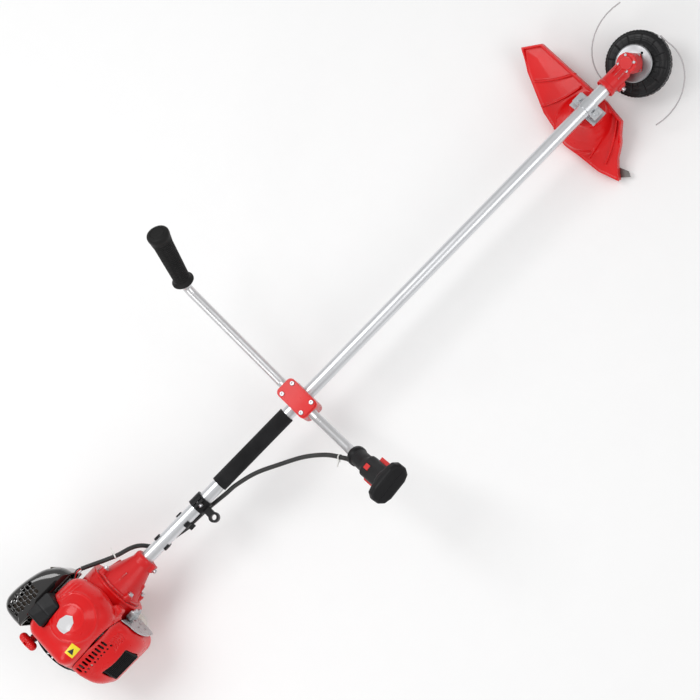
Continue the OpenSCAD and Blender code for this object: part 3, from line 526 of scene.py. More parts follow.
def surface(values, low, spacing):
    """Surface nets over a grid of distances: (points in mm, quads)."""
    inside = values < 0
    nx, ny, nz = values.shape
    corners = [(i, j, k) for i in (0, 1) for j in (0, 1) for k in (0, 1)]
    counts = np.zeros((nx - 1, ny - 1, nz - 1), np.uint8)
    for i, j, k in corners:
        counts += inside[i:nx - 1 + i, j:ny - 1 + j, k:nz - 1 + k]
    cells = np.argwhere((counts > 0) & (counts < 8))
    index = np.full(counts.shape, -1, np.int64)
    index[cells[:, 0], cells[:, 1], cells[:, 2]] = np.arange(len(cells))
    total = np.zeros((len(cells), 3))
    crossings = np.zeros(len(cells))
    at = {c: values[cells[:, 0] + c[0], cells[:, 1] + c[1], cells[:, 2] + c[2]]
          for c in corners}
    for start in corners:
        for axis in range(3):
            if start[axis]:
                continue
            end = list(start)
            end[axis] = 1
            va, vb = at[start], at[tuple(end)]
            crossed = (va < 0) != (vb < 0)
            t = np.where(crossed, va / np.where(crossed, va - vb, 1), 0)
            p = np.array(start, float)[None, :] + np.zeros((len(cells), 3))
            p[:, axis] += t
            total[crossed] += p[crossed]
            crossings[crossed] += 1
    points = (cells + total / crossings[:, None]) * spacing + np.array(low)
    quads = []
    for axis in range(3):
        b, d = (axis + 1) % 3, (axis + 2) % 3
        near, far = [slice(None)] * 3, [slice(None)] * 3
        near[axis], far[axis] = slice(0, -1), slice(1, None)
        before, after = inside[tuple(near)], inside[tuple(far)]
        edges = np.argwhere(before != after)
        keep = ((edges[:, b] > 0) & (edges[:, d] > 0)
                & (edges[:, b] < values.shape[b] - 1) & (edges[:, d] < values.shape[d] - 1))
        edges = edges[keep]
        leaving = before[edges[:, 0], edges[:, 1], edges[:, 2]]
        columns = []
        for back_b, back_d in ((1, 1), (0, 1), (0, 0), (1, 0)):
            q = edges.copy()
            q[:, b] -= back_b
            q[:, d] -= back_d
            columns.append(index[q[:, 0], q[:, 1], q[:, 2]])
        quad = np.stack(columns, 1)
        quad[~leaving] = quad[~leaving][:, ::-1]
        quads.append(quad)
    return points, np.concatenate(quads)


def field(name, shape, low, high, spacing, finish, slot=None, matrix=None, body="frame",
          replaces=None):
    """A closed piece where shape(X, Y, Z) < 0, in mm, in the working frame or matrix's own."""
    counts = [int(math.ceil((high[i] - low[i]) / spacing)) + 1 for i in range(3)]
    axes = [np.arange(counts[i], dtype=f32) * spacing + low[i] for i in range(3)]
    values = shape(*np.meshgrid(*axes, indexing="ij")).astype(f32)
    for axis in range(3):  # the outermost layers are outside, so the piece closes
        layers = np.moveaxis(values, axis, 0)
        layers[0] = np.maximum(layers[0], spacing)
        layers[-1] = np.maximum(layers[-1], spacing)
    points, quads = surface(values, low, spacing)
    # light smoothing takes the grid steps off
    total = np.zeros_like(points)
    count = np.zeros(len(points))
    for a, b in ((0, 1), (1, 2), (2, 3), (3, 0)):
        for here, other in ((a, b), (b, a)):
            np.add.at(total, quads[:, here], points[quads[:, other]])
            np.add.at(count, quads[:, here], 1)
    points = points * 0.5 + 0.5 * total / np.maximum(count, 1)[:, None]
    if matrix is not None:
        turn = np.array(matrix)
        points = points @ turn[:3, :3].T + turn[:3, 3]
    points = points / 1000 + np.array([CLAMP_X, 0, AXIS_Z])
    mesh = bpy.data.meshes.new(name)
    mesh.vertices.add(len(points))
    mesh.vertices.foreach_set("co", points.astype(f32).ravel())
    mesh.loops.add(len(quads) * 4)
    mesh.loops.foreach_set("vertex_index", quads.astype(np.int32).ravel())
    mesh.polygons.add(len(quads))
    mesh.polygons.foreach_set("loop_start", np.arange(len(quads), dtype=np.int32) * 4)
    mesh.polygons.foreach_set("use_smooth", np.ones(len(quads), bool))
    mesh.update(calc_edges=True)
    mesh.validate()
    mesh.materials.append(FINISHES[finish])
    item = place(name, mesh, body, slot)
    if replaces:
        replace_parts(item, replaces)
    return item


# ---------------------------------------------------------------- engine covers
COVER_WALL = 2.6
COVER_STEP = step(1.0)
VENTS_X = [-626 + i * 8.3 for i in range(9)]      # row of vents along the right shoulder
VENT_OFFSET = 4.1                                 # from an oval vent to its square hole
CLUTCH_BOLTS = square_ring(48.5)                  # (y, z)
PANEL_COS, PANEL_SIN = 0.572, 0.82                # lean of the slanted right face


def slant(Y, Z, y, z):
    """Distance outside the slanted plane through (y, z)."""
    return (Z - z) * PANEL_COS - (Y - y) * PANEL_SIN


def top_outer(X, Y, Z):
    solid = box(X, Y, Z, (-572, -5, 92), (68, 56, 28), 24)
    solid = soft_min(solid, ellipsoid(X, Y, Z, (-556, -9, 96), (60, 51, 53)), 18)
    # raised duct at the right front, then the shoulder over the vents
    solid = soft_min(solid, box(X, Y, Z, (-509, -47, 74), (15, 9, 13), 4), 4)
    solid = soft_min(solid, box(X, Y, Z, (-606, -40, 78), (30, 18, 14), 10), 12)
    from_dome = radial(X + 556, Y + 9)
    solid = solid - 0.8 * crest(from_dome - 25, 1.5) * (Z > 120)
    solid = solid - 1.1 * crest(from_dome - 44, 1.8) * (Z > 100)
    for i in range(3):  # embossed ridges left of the dome
        reach = np.abs(X + 528 + i * 3) < 20 - i * 2
        solid = solid - 0.9 * crest(Y - (26 + 7 * i), 1.3) * reach * (Z > 84)
    return solid


def guard_outer(X, Y, Z):
    block = box(X, Y, Z, (-575, -68, 19), (62, 49, 68), 24)
    block = soft_max(block, slant(Y, Z, -71, 90), 14)
    return soft_min(block, ellipsoid(X, Y, Z, (-572, -84, 14), (54, 33, 54)), 10)


def cover_outer(X, Y, Z):
    return soft_min(top_outer(X, Y, Z), guard_outer(X, Y, Z), 15)


def top_shell(X, Y, Z):
    outer = cover_outer(X, Y, Z)
    shell = overlap(cut(outer, outer + COVER_WALL), 64.6 - Z, -61.9 - Y)
    # collar of the fan housing, open round the cylinder
    r = radial(Y, Z)
    collar = overlap(between(r, 56.6, 60.2), between(X, -529, -491.5))
    collar = cut(collar, overlap(radial(X + 546, Y) - 25.5, -Z))
    # front face up to the clutch housing
    face = overlap(between(r, 50.6, 60.2), np.abs(X + 490.6) - 1.3)
    for centre in CLUTCH_BOLTS:
        face = cut(face, x_rod(X, Y, Z, -495, -486, 8.2, centre=centre))
    shell = soft_min(shell, soft_min(collar, face, 2.5), 3.0)
    shell = cut(shell, box(X, Y, Z, (-585, 39, 116), (26.6, 20.0, 30), 4))  # plug cover notch
    for x in VENTS_X:
        shell = cut(shell, box(X, Y, Z, (x, -50, 80), (1.9, 14, 5.2), 1.8))
        for dz in (-9.5, 9.5):
            shell = cut(shell, box(X, Y, Z, (x + VENT_OFFSET, -50, 80 + dz),
                                   (1.5, 14, 1.5), 0.4))
    return shell


def guard_shell(X, Y, Z):
    outer = cover_outer(X, Y, Z)
    u = X + 577
    v = (Y + 110) * PANEL_COS + (Z - 34) * PANEL_SIN
    w = slant(Y, Z, -110, 34)
    for i in range(6):  # louvre arcs above the outlet
        arc = crest(u - 24 - i * 5.0 + 0.03 * (v - 46) ** 2, 1.3)
        outer = outer + 1.9 * arc * (np.abs(v - 46 + abs(i - 2.5)) < 11) * (Y < -66)
    shell = overlap(cut(outer, outer + COVER_WALL), Y + 62.9)
    for x in VENTS_X:
        shell = cut(shell, box(X, Y, Z, (x, -73, 82), (2.0, 5.4, 16), 1.8),
                    box(X, Y, Z, (x + VENT_OFFSET, -82.5, 74), (1.5, 1.5, 18), 0.4))
    return cut(shell, box(u, v, w, (0, -4, 0), (31, 22, 14), 4))  # window of the outlet


def grille(X, Y, Z):
    solid = box(X, Y, Z, (0, -4, -3.2), (30.2, 21.2, 2.4), 3.5)
    for i in range(9):
        solid = cut(solid, box(X, Y, Z, (0, -20 + i * 4, -0.8), (26, 1.2, 2.2), 0.3))
    return solid


field("top_cover_shell", top_shell, (-646, -70, -68), (-485, 67, 156), COVER_STEP,
      "red_gloss", "red_plastic", replaces="top_cover")
field("muffler_guard_shell", guard_shell, (-644, -123, -60), (-508, -61, 98), COVER_STEP,
      "red_gloss", "red_plastic", replaces="muffler_guard")
PANEL = Matrix(((1, 0, 0, -577), (0, PANEL_COS, -PANEL_SIN, -110),
                (0, PANEL_SIN, PANEL_COS, 34), (0, 0, 0, 1)))
field("outlet_grille", grille, (-33, -28, -7), (33, 20, 2), 0.7, "black_matte",
      "black_plastic", PANEL)

# ---------------------------------------------------------------- air filter
# outline seen from above: (x, y)
FILTER_PLAN = [
    (-655, 62), (-656, 80), (-655, 96), (-653.5, 103), (-650.5, 109), (-646, 114),
    (-640, 118), (-632, 121), (-622, 123), (-611, 124), (-600, 124), (-589, 122.5),
    (-578, 119.5), (-566, 115), (-555, 110), (-546, 104.5), (-538, 98.5), (-531, 92.5),
    (-525, 86), (-521.5, 79), (-519, 70), (-518, 62)]


def filter_shell(X, Y, Z):
    outer = soft_max(polygon(X, Y, FILTER_PLAN), np.abs(Z - 46) - 43, 22)
    outer = soft_max(outer, ((X + 588) * 0.16 + (Z - 47) * 0.24 + (Y - 125.0)) * 0.96, 9)
    shell = overlap(cut(outer, outer + COVER_WALL), 64.4 - Y)
    for i in range(9):  # slots in the left face
        for j in range(4):
            centre = (-642 + i * 8.0, 116, 30 + j * 12 + (i % 2) * 3)
            shell = cut(shell, box(X, Y, Z, centre, (2.6, 22, 4.2), 1.4))
    for i in range(4):  # in the rear face
        for j in range(6):
            centre = (-650, 74 + i * 9.5, 22 + j * 10)
            shell = cut(shell, box(X, Y, Z, centre, (16, 3.2, 2.6), 1.2))
    for i in range(8):  # in the top
        for j in range(3):
            centre = (-641 + i * 8, 82 + j * 10 + (i % 2) * 3, 86)
            shell = cut(shell, box(X, Y, Z, centre, (2.6, 3.6, 9), 1.2))
    return shell


def filter_core(X, Y, Z):
    return box(X, Y, Z, (-590, 86, 46), (54, 16, 30), 6) + 1.3 * np.sin(X * 1.05)


field("air_filter_shell", filter_shell, (-660, 62, 0), (-514, 127, 94), COVER_STEP,
      "black_gloss", "black_gloss", replaces="air_filter_cover")
field("filter_pleats", filter_core, (-650, 68, 12), (-530, 106, 80), 1.2, "lining", "friction")


# ---------------------------------------------------------------- plug cover, starter, tank
def plug_box(X, Y, Z):
    solid = box(X, Y, Z, (-585, 39, 116), (26, 19, 21), 5)
    solid = overlap(solid, (Z - 137) + (Y - 39) * 0.16 + (X + 585) * 0.05)
    solid = cut(solid, box(X, Y, Z, (-585, 39, 110), (23.5, 16.5, 22), 3))
    return solid - 0.5 * crest(X + 585, 0.8) * (Z > 120)


def starter(X, Y, Z):
    r = radial(Y, Z)
    outer = soft_max(r - 62, -664 - X, 10)
    outer = soft_max(outer, (-664 - X + (r - 40) * 0.55) * 0.87, 4)
    shell = cut(outer, overlap(r - 58.5, -659.6 - X))
    shell = overlap(shell, X + 583.9)
    for i in range(20):  # cooling slots in the rear face
        u, v = turned(Y, Z, i * math.pi / 10)
        shell = cut(shell, overlap(np.abs(u - 32) - 12, np.abs(v) - 2.1, X + 650))
    hub = cut(x_rod(X, Y, Z, -664.6, -659.8, 13, 1.5), r - 3)
    shell = np.minimum(np.minimum(shell, x_rod(X, Y, Z, -661, -624, 5.0, 0.5)), hub)
    for i in range(30):  # ribs round the rim
        u, v = turned(Y, Z, i * math.pi / 15)
        rib = overlap(np.abs(v) - 1.0, np.abs(u - 60.6) - 1.9, between(X, -640, -600))
        shell = np.minimum(shell, rib)
    # guide of the starter cord
    shell = soft_min(shell, cylinder(X, Y, Z, (-654, 42, 14), (-665.3, 42, 29), 8.0, 1.0), 2.0)
    return cut(shell, cylinder(X, Y, Z, (-640, 42, -4.7), (-676, 42, 43.3), 2.6))


def pull_handle(X, Y, Z):
    Z = Z - 6
    bar = capsule(X, Y, Z, (0, -12, 16), (0, 12, 16), 8.4)
    bar = soft_min(bar, ellipsoid(X, Y, Z, (0, 0, 17.5), (8.0, 17, 7.2)), 3)
    solid = soft_min(bar, z_rod(X, Y, Z, 1.5, 13, 5.4, 1.0), 4)
    solid = cut(solid, z_rod(X, Y, Z, 20, 40, 3.6, 0.5))
    return solid - 0.35 * np.cos(Y * 1.6) * (np.abs(Y) < 15) * (Z > 12)


def tank(X, Y, Z):
    solid = box(X, Y, Z, (-590, 0, -92), (71.5, 69.5, 27.6), 13)
    solid = solid - 0.9 * crest(Z + 84, 1.0)                             # weld seam
    solid = soft_min(solid, box(X, Y, Z, (-590, 0, -117.5), (60, 58, 2.5), 2), 2)  # foot
    for side in (-1, 1):                                                 # pressed end panels
        solid = cut(solid, box(X, Y, Z, (-590 + side * 71.5, 0, -100), (1.4, 34, 8), 1))
    # filler neck on the left
    neck = cylinder(X, Y, Z, (-638, 60, -90), (-638, 81.8, -90), 13.9, 0.6)
    solid = soft_min(solid, neck, 1.5)
    return cut(solid, cylinder(X, Y, Z, (-638, 55, -90), (-638, 90, -90), 11))


field("plug_cover_shell", plug_box, (-614, 17, 94), (-556, 62, 140), 0.9,
      "black_matte", "black_plastic", replaces="plug_cover")
field("starter_housing_shell", starter, (-674, -65, -65), (-581, 65, 65), COVER_STEP,
      "black_matte", "black_plastic", replaces="starter_housing")
field("starter_handle_grip", pull_handle, (-11, -23, 6), (11, 23, 33), 0.6,
      "red_gloss", "red_plastic", PULL, "pull_handle", "starter_handle")
field("fuel_tank_shell", tank, (-664, -72, -120.4), (-516, 84, -62), COVER_STEP,
      "tank", "tank_plastic", replaces="fuel_tank")

# ---------------------------------------------------------------- left grip
BAR_BORE = 9.05                 # radius of the handlebar hole in both grips
RIB_START, RIB_END, RIB_STEP, RIB_RINGS = 13, 112, 1.1, 90


def left_grip_radius(z):
    return float(np.interp(z, [2, 6, 9, 15, 60, 100, 114, 120, 127, 130],
                           [21, 21, 18.5, 15.5, 16.8, 17.8, 19.8, 21.3, 21.3, 19.2]))


def flatten_grip(angle, r, z):
    """Shallow groove down both sides of the ribbed part."""
    grooved = r > 12 and RIB_START < z < RIB_END and abs(math.sin(angle)) < 0.16
    return r - (0.8 if grooved else 0)


# (radius, z): inner end, ribs, flared outer end, bore
grip_profile = [(20.2, 2.0), (21, 3), (21, 5.5), (18.2, 8), (16, 11)]
for k in range(RIB_RINGS):
    z = RIB_START + k * RIB_STEP
    grip_profile.append((left_grip_radius(z) + (0.55 if k % 4 in (1, 2) else -0.45), z))
grip_profile += [
    (left_grip_radius(114), 114), (20.9, 119), (21.3, 121), (21.3, 126), (20.2, 128.6),
    (18.4, 129.7), (14, 130), (13.4, 129.2), (12.6, 130), (0, 130),
    (0, 127.3), (BAR_BORE, 127.2), (BAR_BORE, 2.0), (20.2, 2.0)]
left_grip = lathe("left_grip_shell", grip_profile, "rubber", LEFT_GRIP, 72, 40,
                  slot="rubber_grip", shape=flatten_grip)
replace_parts(left_grip, "left_grip")

# ---------------------------------------------------------------- throttle grip
# outline of the flared end: (x, y) across the grip
GRIP_END = [(-22, -20), (-18.5, -33), (-8, -39.5), (6, -39), (17, -32), (22, -18),
            (22, 20), (17, 33), (6, 39.5), (-8, 39.5), (-18, 33), (-22, 22)]
SPLIT_GAP = 0.14                # from the middle plane to either half


def grip_outer(X, Y, Z):
    r = radial(X, Y)
    size = np.interp(Z, [0, 8, 13, 45, 113, 134], [19, 19, 16.4, 17, 19, 20]).astype(f32)
    solid = soft_max(r - size, np.abs(Z - 60) - 60, 2.0)
    solid = soft_min(solid, box(X, Y, Z, (0, 0, 83), (14, 20.5, 33), 7), 5)
    end = soft_max(polygon(X, Y, GRIP_END), np.abs(Z - 123.8) - 10.1, 8.0)
    solid = soft_min(solid, end, 7)
    solid = solid + 0.7 * crest(Z - 117, 0.8)       # moulded line round the end
    for i in range(9):
        solid = solid + 0.5 * crest(Z - 18 - i * 3.4, 0.8) * (r > 10)
    return solid


def grip_half(side):
    def shape(X, Y, Z):
        solid = cut(
            grip_outer(X, Y, Z),
            z_rod(X, Y, Z, -5, 52, BAR_BORE),
            box(X, Y, Z, (0, 0, 83), (10.5, 14, 29)),           # cavity
            box(X, Y, Z, (0, 20, 87.5), (4.7, 10.5, 23.5)),     # openings in +y, -y and -x
            box(X, Y, Z, (0, -20, 84.5), (4.7, 10.5, 26.5)),
            box(X, Y, Z, (-18, -2, 69.1), (12, 5.2, 7.2)),
            z_rod(X, Y, Z, -2, 50, 3.3, centre=(0, -14.6)))     # channel beside the bar
        return overlap(solid, X + SPLIT_GAP if side < 0 else SPLIT_GAP - X)
    return shape


for side, piece in ((-1, "throttle_grip_upper"), (1, "throttle_grip_lower")):
    field(piece + "_shell", grip_half(side), (-25, -42, -2), (25, 42, 136), step(0.7),
          "black_matte", "black_plastic", THROTTLE_GRIP, replaces=piece)

# ---------------------------------------------------------------- cable loom
# knots from the throttle grip back to the engine: (x, y, z)
LOOM = [
    (-9.8, -157.5, 76.5), (-15, -147, 66), (-35, -116, 45), (-68, -86, 31),
    (-112, -60, 20), (-155, -37, 7), (-197, -24, -3), (-224, -20, -9.5),
    (-269, -12.5, -21.5), (-307, -11.2, -17.3), (-321, -11.2, -17.3), (-343, -6.5, -19.8),
    (-365, -2.2, -20.5), (-379, -2.2, -20.5), (-393, 10, -20.5), (-407, 27, -9),
    (-421, 34, 8), (-445, 39, 24), (-466, 47, 32), (-490, 58, 37), (-508, 66, 41)]
loom_path = even_steps(curve_through(LOOM, 12), 0.9)
loom_radii = [4.5 if i % 4 < 2 else 3.95 for i in range(len(loom_path))]  # corrugations
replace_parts(sweep("cable_loom_tube", loom_path, loom_radii, "cable", 14, "cable"),
            "cable_loom")

# ---------------------------------------------------------------- guard
# outline in the head frame: (x, y)
GUARD_OUTLINE = [
    (-114, 192), (-83, 164), (-87, -10), (-94, -55), (-125, -78), (-154.7, -94),
    (-172, -110), (-185, -124.5), (-197, -82), (-201, 3.5), (-182, 76), (-143, 153)]
# thick corner at the right rear
GUARD_CORNER = [(-169, -103), (-184, -119), (-195, -90), (-176, -90)]
RISER_X = 773                   # working frame, middle of the riser under the tube
RISER_TOP = 19.1                # below the tube axis


def guard_dish(X, Y, Z):
    edge = polygon(X, Y, GUARD_OUTLINE)
    middle = -22.6 + 4.0 * (1 - np.exp(-np.clip(-edge, 0, 200) / 26.0))  # shallow dish
    plate = overlap(edge, np.abs(Z - middle) - 1.35)
    rear = np.clip((-X - 118) / 14.0, 0, 1)         # deep skirt behind, low lip ahead
    rim = overlap(cut(edge, edge + 2.8 + 1.6 * (1 - rear)),
                  Z + 20.4 - 7.5 * (1 - rear), -(Z + 31.5 + 8.5 * rear))
    solid = soft_min(plate, rim, 2.5)
    for degrees in (140, 155, 170, 197, 207):       # curved ribs
        u, v = turned(X, Y, math.radians(degrees))
        rib = overlap(np.abs(v + (u - 150) ** 2 / 420) - 1.6, np.abs(u - 152) - 44,
                      edge - 2.4, Z - middle - 8.0, middle - Z)
        solid = soft_min(solid, rib, 1.8)
    corner = soft_max(polygon(X, Y, GUARD_CORNER), np.abs(Z + 31.5) - 8.4, 2)
    solid = soft_min(solid, corner, 2)
    # flared riser, upright in the working frame
    x = HEAD_X + X * COS_TILT - Z * SIN_TILT
    z = X * SIN_TILT + Z * COS_TILT
    r = radial(x - RISER_X, Y)
    flare = np.interp(z, [-86, -68, -52, -40, -30, -19], [60, 49, 41.5, 37, 34, 32.6])
    outer = (r - flare.astype(f32)) * 0.93
    riser = overlap(cut(outer, outer + 3.0), z + RISER_TOP, middle - Z - 1.3)
    top = overlap(outer, np.abs(z + 21.6) - 2.5)
    solid = cut(solid, overlap(outer + 3.0, np.abs(z + 60) - 35))
    solid = soft_min(solid, soft_min(riser, top, 3), 6)
    solid = overlap(solid, z + RISER_TOP - 500 * (r > 70))
    for y in (-21, 21):                             # screw holes
        solid = cut(solid, radial(x - RISER_X, Y - y) - 2.7)
    return solid


field("guard_dish", guard_dish, (-205, -129, -43), (-46, 196, 62), step(1.15),
      "red_plastic", "red_plastic", HEAD, replaces="guard")

# ---------------------------------------------------------------- line head
RIM_R = 64.0
EYE_Z = -51
# (radius, z)
HOUSING_PROFILE = [
    (5.1, -30.7), (22, -30.7), (24, -33), (30, -33.3), (30.6, -34.3), (32.4, -34.3),
    (33, -33.4), (38, -34), (41, -35.4), (44, -38), (46.5, -38.4), (47, -39.4),
    (49, -39.6), (52, -39.4), (56, -40), (58.4, -41.8), (60, -44), (62.6, -45.2),
    (RIM_R, -47), (RIM_R, -57.6), (54.6, -57.6), (54.6, -46), (50, -43.2), (5.1, -43.2)]
COVER_PROFILE = [
    (24.2, -66.5), (40, -66.9), (56, -66.5), (61, -64.4), (RIM_R, -61.5), (RIM_R, -58.1),
    (54, -58.1), (53.5, -63.9), (24.2, -63.9), (24.2, -66.5)]
EYE_PROFILE = [(2.3, 0), (4.6, 0), (5.0, 1.6), (4.4, 3.0), (3.2, 3.3), (2.4, 2.8), (2.3, 0)]


def knurl(angle, r, z):
    if r > RIM_R - 0.6:
        return r - 0.7 * (0.5 + 0.5 * math.cos(30 * angle)) ** 3
    if 43.5 < r < 57:
        return r - 0.8 * (math.cos(12 * angle) > 0.93)
    return r


def head_housing(X, Y, Z):
    r = radial(X, Y)
    angle = np.arctan2(Y, X)

    def spoke(half_count, shift=0.0):
        """Distance round the circle to the nearest of 2 * half_count spokes."""
        turn = angle * half_count / math.pi + shift
        return np.abs(turn % 1.0 - 0.5) * math.pi / half_count * r

    solid = polygon(r, Z, HOUSING_PROFILE)
    # seams round the top, ribs on the shoulder, scallops round the rim
    solid = solid + 1.3 * crest(spoke(12, 0.5), 0.9) * (r > 35) * (r < 57.5) * (Z > -44)
    solid = solid - 1.0 * crest(spoke(6), 1.1) * (r > 41) * (r < 60) * (Z > -46)
    solid = solid + 1.0 * crest(spoke(30), 1.2) * (r > 60) * (Z < -46)
    for turn in (0, math.pi):                       # line holes
        x, y = turned(X, Y, turn)
        solid = cut(solid, overlap(radial(y, Z - EYE_Z) - 2.3, 50 - x))
    return solid


field("head_housing_shell", head_housing, (-66, -66, -59), (66, 66, -29.5), step(0.6),
      "black_head", "black_plastic", HEAD_STACK, "head", "head_housing")
head_cover = lathe("head_cover_shell", COVER_PROFILE, "black_head", HEAD_STACK, 288, 32,
                   "head", "black_plastic", knurl)
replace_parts(head_cover, "head_cover")
eyelets = []
for i, turn in enumerate((0, math.pi)):
    eye = (HEAD_STACK @ Matrix.Rotation(turn, 4, "Z")
           @ Matrix.Translation((RIM_R - 2.0, 0, EYE_Z)) @ Matrix.Rotation(math.pi / 2, 4, "Y"))
    eyelets.append(lathe("eye%d" % i, EYE_PROFILE, "chrome", eye, 32, 40, "head"))
joined("line_eyelets", eyelets, "head", "steel")


# ---------------------------------------------------------------- gearcase
def gearcase(X, Y, Z):
    # x, y, z lie in the head frame
    ahead = X - HEAD_X
    x, y, z = ahead * COS_TILT + Z * SIN_TILT, Y, -ahead * SIN_TILT + Z * COS_TILT
    solid = x_rod(X, Y, Z, 818, 868, 17.5, 1.0)
    solid = soft_min(solid, x_rod(X, Y, Z, 818, 826, 19, 1.0), 1.5)
    solid = soft_min(solid, box(X, Y, Z, (844, -15, -9), (9, 7, 7), 2.5), 3)
    solid = soft_min(solid, z_rod(x, y, z, -22, 24.5, 19.5, 2.0), 6)
    solid = soft_min(solid, z_rod(x, y, z, 22, 28, 12.4, 1.2), 1.5)
    flange = box((x + y) * 0.7071, (x - y) * 0.7071, z, (0, 0, -19), (17.6, 17.6, 3), 4.0)
    solid = soft_min(solid, flange, 2)
    for centre in square_ring(15.2):                # screw bosses
        solid = soft_min(solid, z_rod(x, y, z, 12, 24.5, 4.4, 0.8, centre), 1.5)
        solid = cut(solid, z_rod(x, y, z, 19, 30, 1.5, centre=centre))
    for rib_y in (-9, 0, 9):                        # cast ribs on the barrel
        rib = overlap(np.abs(Y - rib_y) - 0.9, box(X, Y, Z, (862, 0, 12), (18, 14, 8), 2))
        solid = soft_min(solid, rib, 1.6)
    return cut(solid,
               x_rod(X, Y, Z, 800, 856.5, TUBE_R + 0.05),
               x_rod(X, Y, Z, 856, 886, 11.1),
               z_rod(x, y, z, -30, 20.3, 13.1),
               box(X, Y, Z, (831, 0, -18), (16, 1.0, 9)))       # clamping slit


field("gearcase_casting", gearcase, (814, -28, -30), (916, 28, 40), step(0.65),
      "red_metal", "red_metal", replaces="gearcase")


# ---------------------------------------------------------------- clutch housing
def clutch_housing(X, Y, Z):
    size = np.interp(X, [-484, -427, -417, -412], [43.5, 22, 22, 19.5]).astype(f32)
    solid = soft_max((radial(Y, Z) - size) * 0.94, np.abs(X + 451) - 39.0, 1.2)
    solid = soft_min(solid, x_rod(X, Y, Z, -489.9, -484.6, 50, 0.8), 2.5)
    solid = soft_min(solid, box(X, Y, Z, (-420, -20, 0), (8, 6.2, 8), 2), 2.5)
    for centre in CLUTCH_BOLTS:
        solid = soft_min(solid, x_rod(X, Y, Z, -489.9, -476, 7, 0.8, centre), 4)
    for degrees in (0, 90, 180, 270):               # ribs down the cone
        u, v = turned(Y, Z, math.radians(degrees))
        rib = overlap(np.abs(v) - 1.3, np.abs(X + 468) - 16,
                      np.abs(u - 34) - 8.5 + (X + 484) * 0.22)
        solid = soft_min(solid, rib, 2.0)
    solid = cut(solid,
                x_rod(X, Y, Z, -446.5, -400, TUBE_R + 0.05),
                x_rod(X, Y, Z, -470, -446, 16.1),
                x_rod(X, Y, Z, -500, -468.5, 36))
    for centre in CLUTCH_BOLTS:
        solid = cut(solid, x_rod(X, Y, Z, -495, -470, 2.6, centre=centre))
    return cut(solid, box(X, Y, Z, (-419, -27, 0), (15, 14, 1.0)))  # clamping slit


field("clutch_housing_casting", clutch_housing, (-492, -57, -57), (-409, 57, 57),
      step(0.85), "red_metal", "red_metal", replaces="clutch_housing")

# ---------------------------------------------------------------- labels
LABEL_STEP = 0.55
# (x, y) from the label's middle
SHIELD = [(-17, -10), (-19, 0), (-17, 10), (-4, 14), (11, 10), (18, 0), (11, -10), (-4, -14)]
ICON = [(-7, -5.5), (-7, 5.5), (5.5, 0)]


def shield_label(X, Y, Z):
    outline = polygon(X + 568, Y + 11, SHIELD)
    return overlap(np.abs(top_outer(X, Y, Z) - 0.15) - 0.5, outline, 100 - Z)


def yellow_label(X, Y, Z):
    outline = overlap(np.abs(X + 600) - 12, np.abs(Y + 48) - 8)
    return overlap(np.abs(cover_outer(X, Y, Z) - 0.15) - 0.5, outline, 70 - Z)


def label_icon(X, Y, Z):
    outline = polygon(X + 600, Y + 48, ICON)
    return overlap(np.abs(cover_outer(X, Y, Z) - 0.5) - 0.5, outline, 70 - Z)


field("blank_shield_label", shield_label, (-590, -28, 120), (-547, 6, 156), LABEL_STEP,
      "label_white")
field("yellow_label", yellow_label, (-614, -58, 78), (-586, -38, 130), LABEL_STEP,
      "label_yellow")
field("yellow_label_icon", label_icon, (-610, -55, 78), (-590, -41, 130), LABEL_STEP,
      "label_dark")


# ---------------------------------------------------------------- small engine parts
def heat_plate(X, Y, Z):
    ring = np.abs(guard_outer(X * 0 - 575, Y, Z) + 29.0) - 17.0
    solid = overlap(np.abs(X + 510.2) - 0.9, ring, Y + 63, -44 - Z)
    for k in range(3):
        solid = cut(solid, x_rod(X, Y, Z, -515, -505, 3.0, centre=(-76 - 14 * k, -12)))
    return solid


field("heat_plate", heat_plate, (-512.6, -124, -52), (-507.6, -61, 98), 0.8, "steel", "steel")


def wire(name, knots, radius, finish, segments):
    path = curve_through(knots, 8)
    return sweep(name, path, [radius] * len(path), finish, segments)


wires = [wire("wire%d" % i,
              [start, (-516, 66 + 3 * i, 48), (-524, 60, 54 + 5 * i), (-536, 50, 58 + 4 * i)],
              1.3, finish, 10)
         for i, (start, finish) in enumerate((((-508, 66, 41), "red_plastic"),
                                              ((-508, 68, 43), "label_dark")))]
wires.append(wire("throttle_inner_cable",
                  [(-508, 65, 39), (-516, 62, 40), (-525, 58, 46), (-530, 54, 52)],
                  0.9, "steel", 8))
joined("engine_wires", wires, "frame", "steel")

BRACKET_BOLTS_Z = (14, 34)
BOLT_PROFILE = [(0, 0), (4.4, 0), (4.4, 1.0), (3.5, 1.1), (3.5, 4.0), (3.0, 4.4), (0, 4.4)]
SCREW_PROFILE = [(0, 0), (2.9, 0), (2.9, 1.4), (2.4, 2.0), (1.3, 2.0), (1.3, 0.9), (0, 0.9)]


def bracket(X, Y, Z):
    solid = box(X, Y, Z, (-500, -62.5, 24), (8, 6, 15), 2.0)
    solid = soft_min(solid, box(X, Y, Z, (-499, -67, 24), (5, 5, 8), 2), 3)
    for z in BRACKET_BOLTS_Z:
        solid = soft_min(solid, x_rod(X, Y, Z, -500, -489.5, 5.2, 0.8, (-63.5, z)), 1.5)
    return overlap(solid, 61.0 - radial(Y, Z))


def hex_head(angle, r, z):
    """Six flats above the washer."""
    if r > 2.9 and z > 1.05:
        return r / max(0.866, math.cos((angle % (math.pi / 3)) - math.pi / 6)) * 0.93
    return r


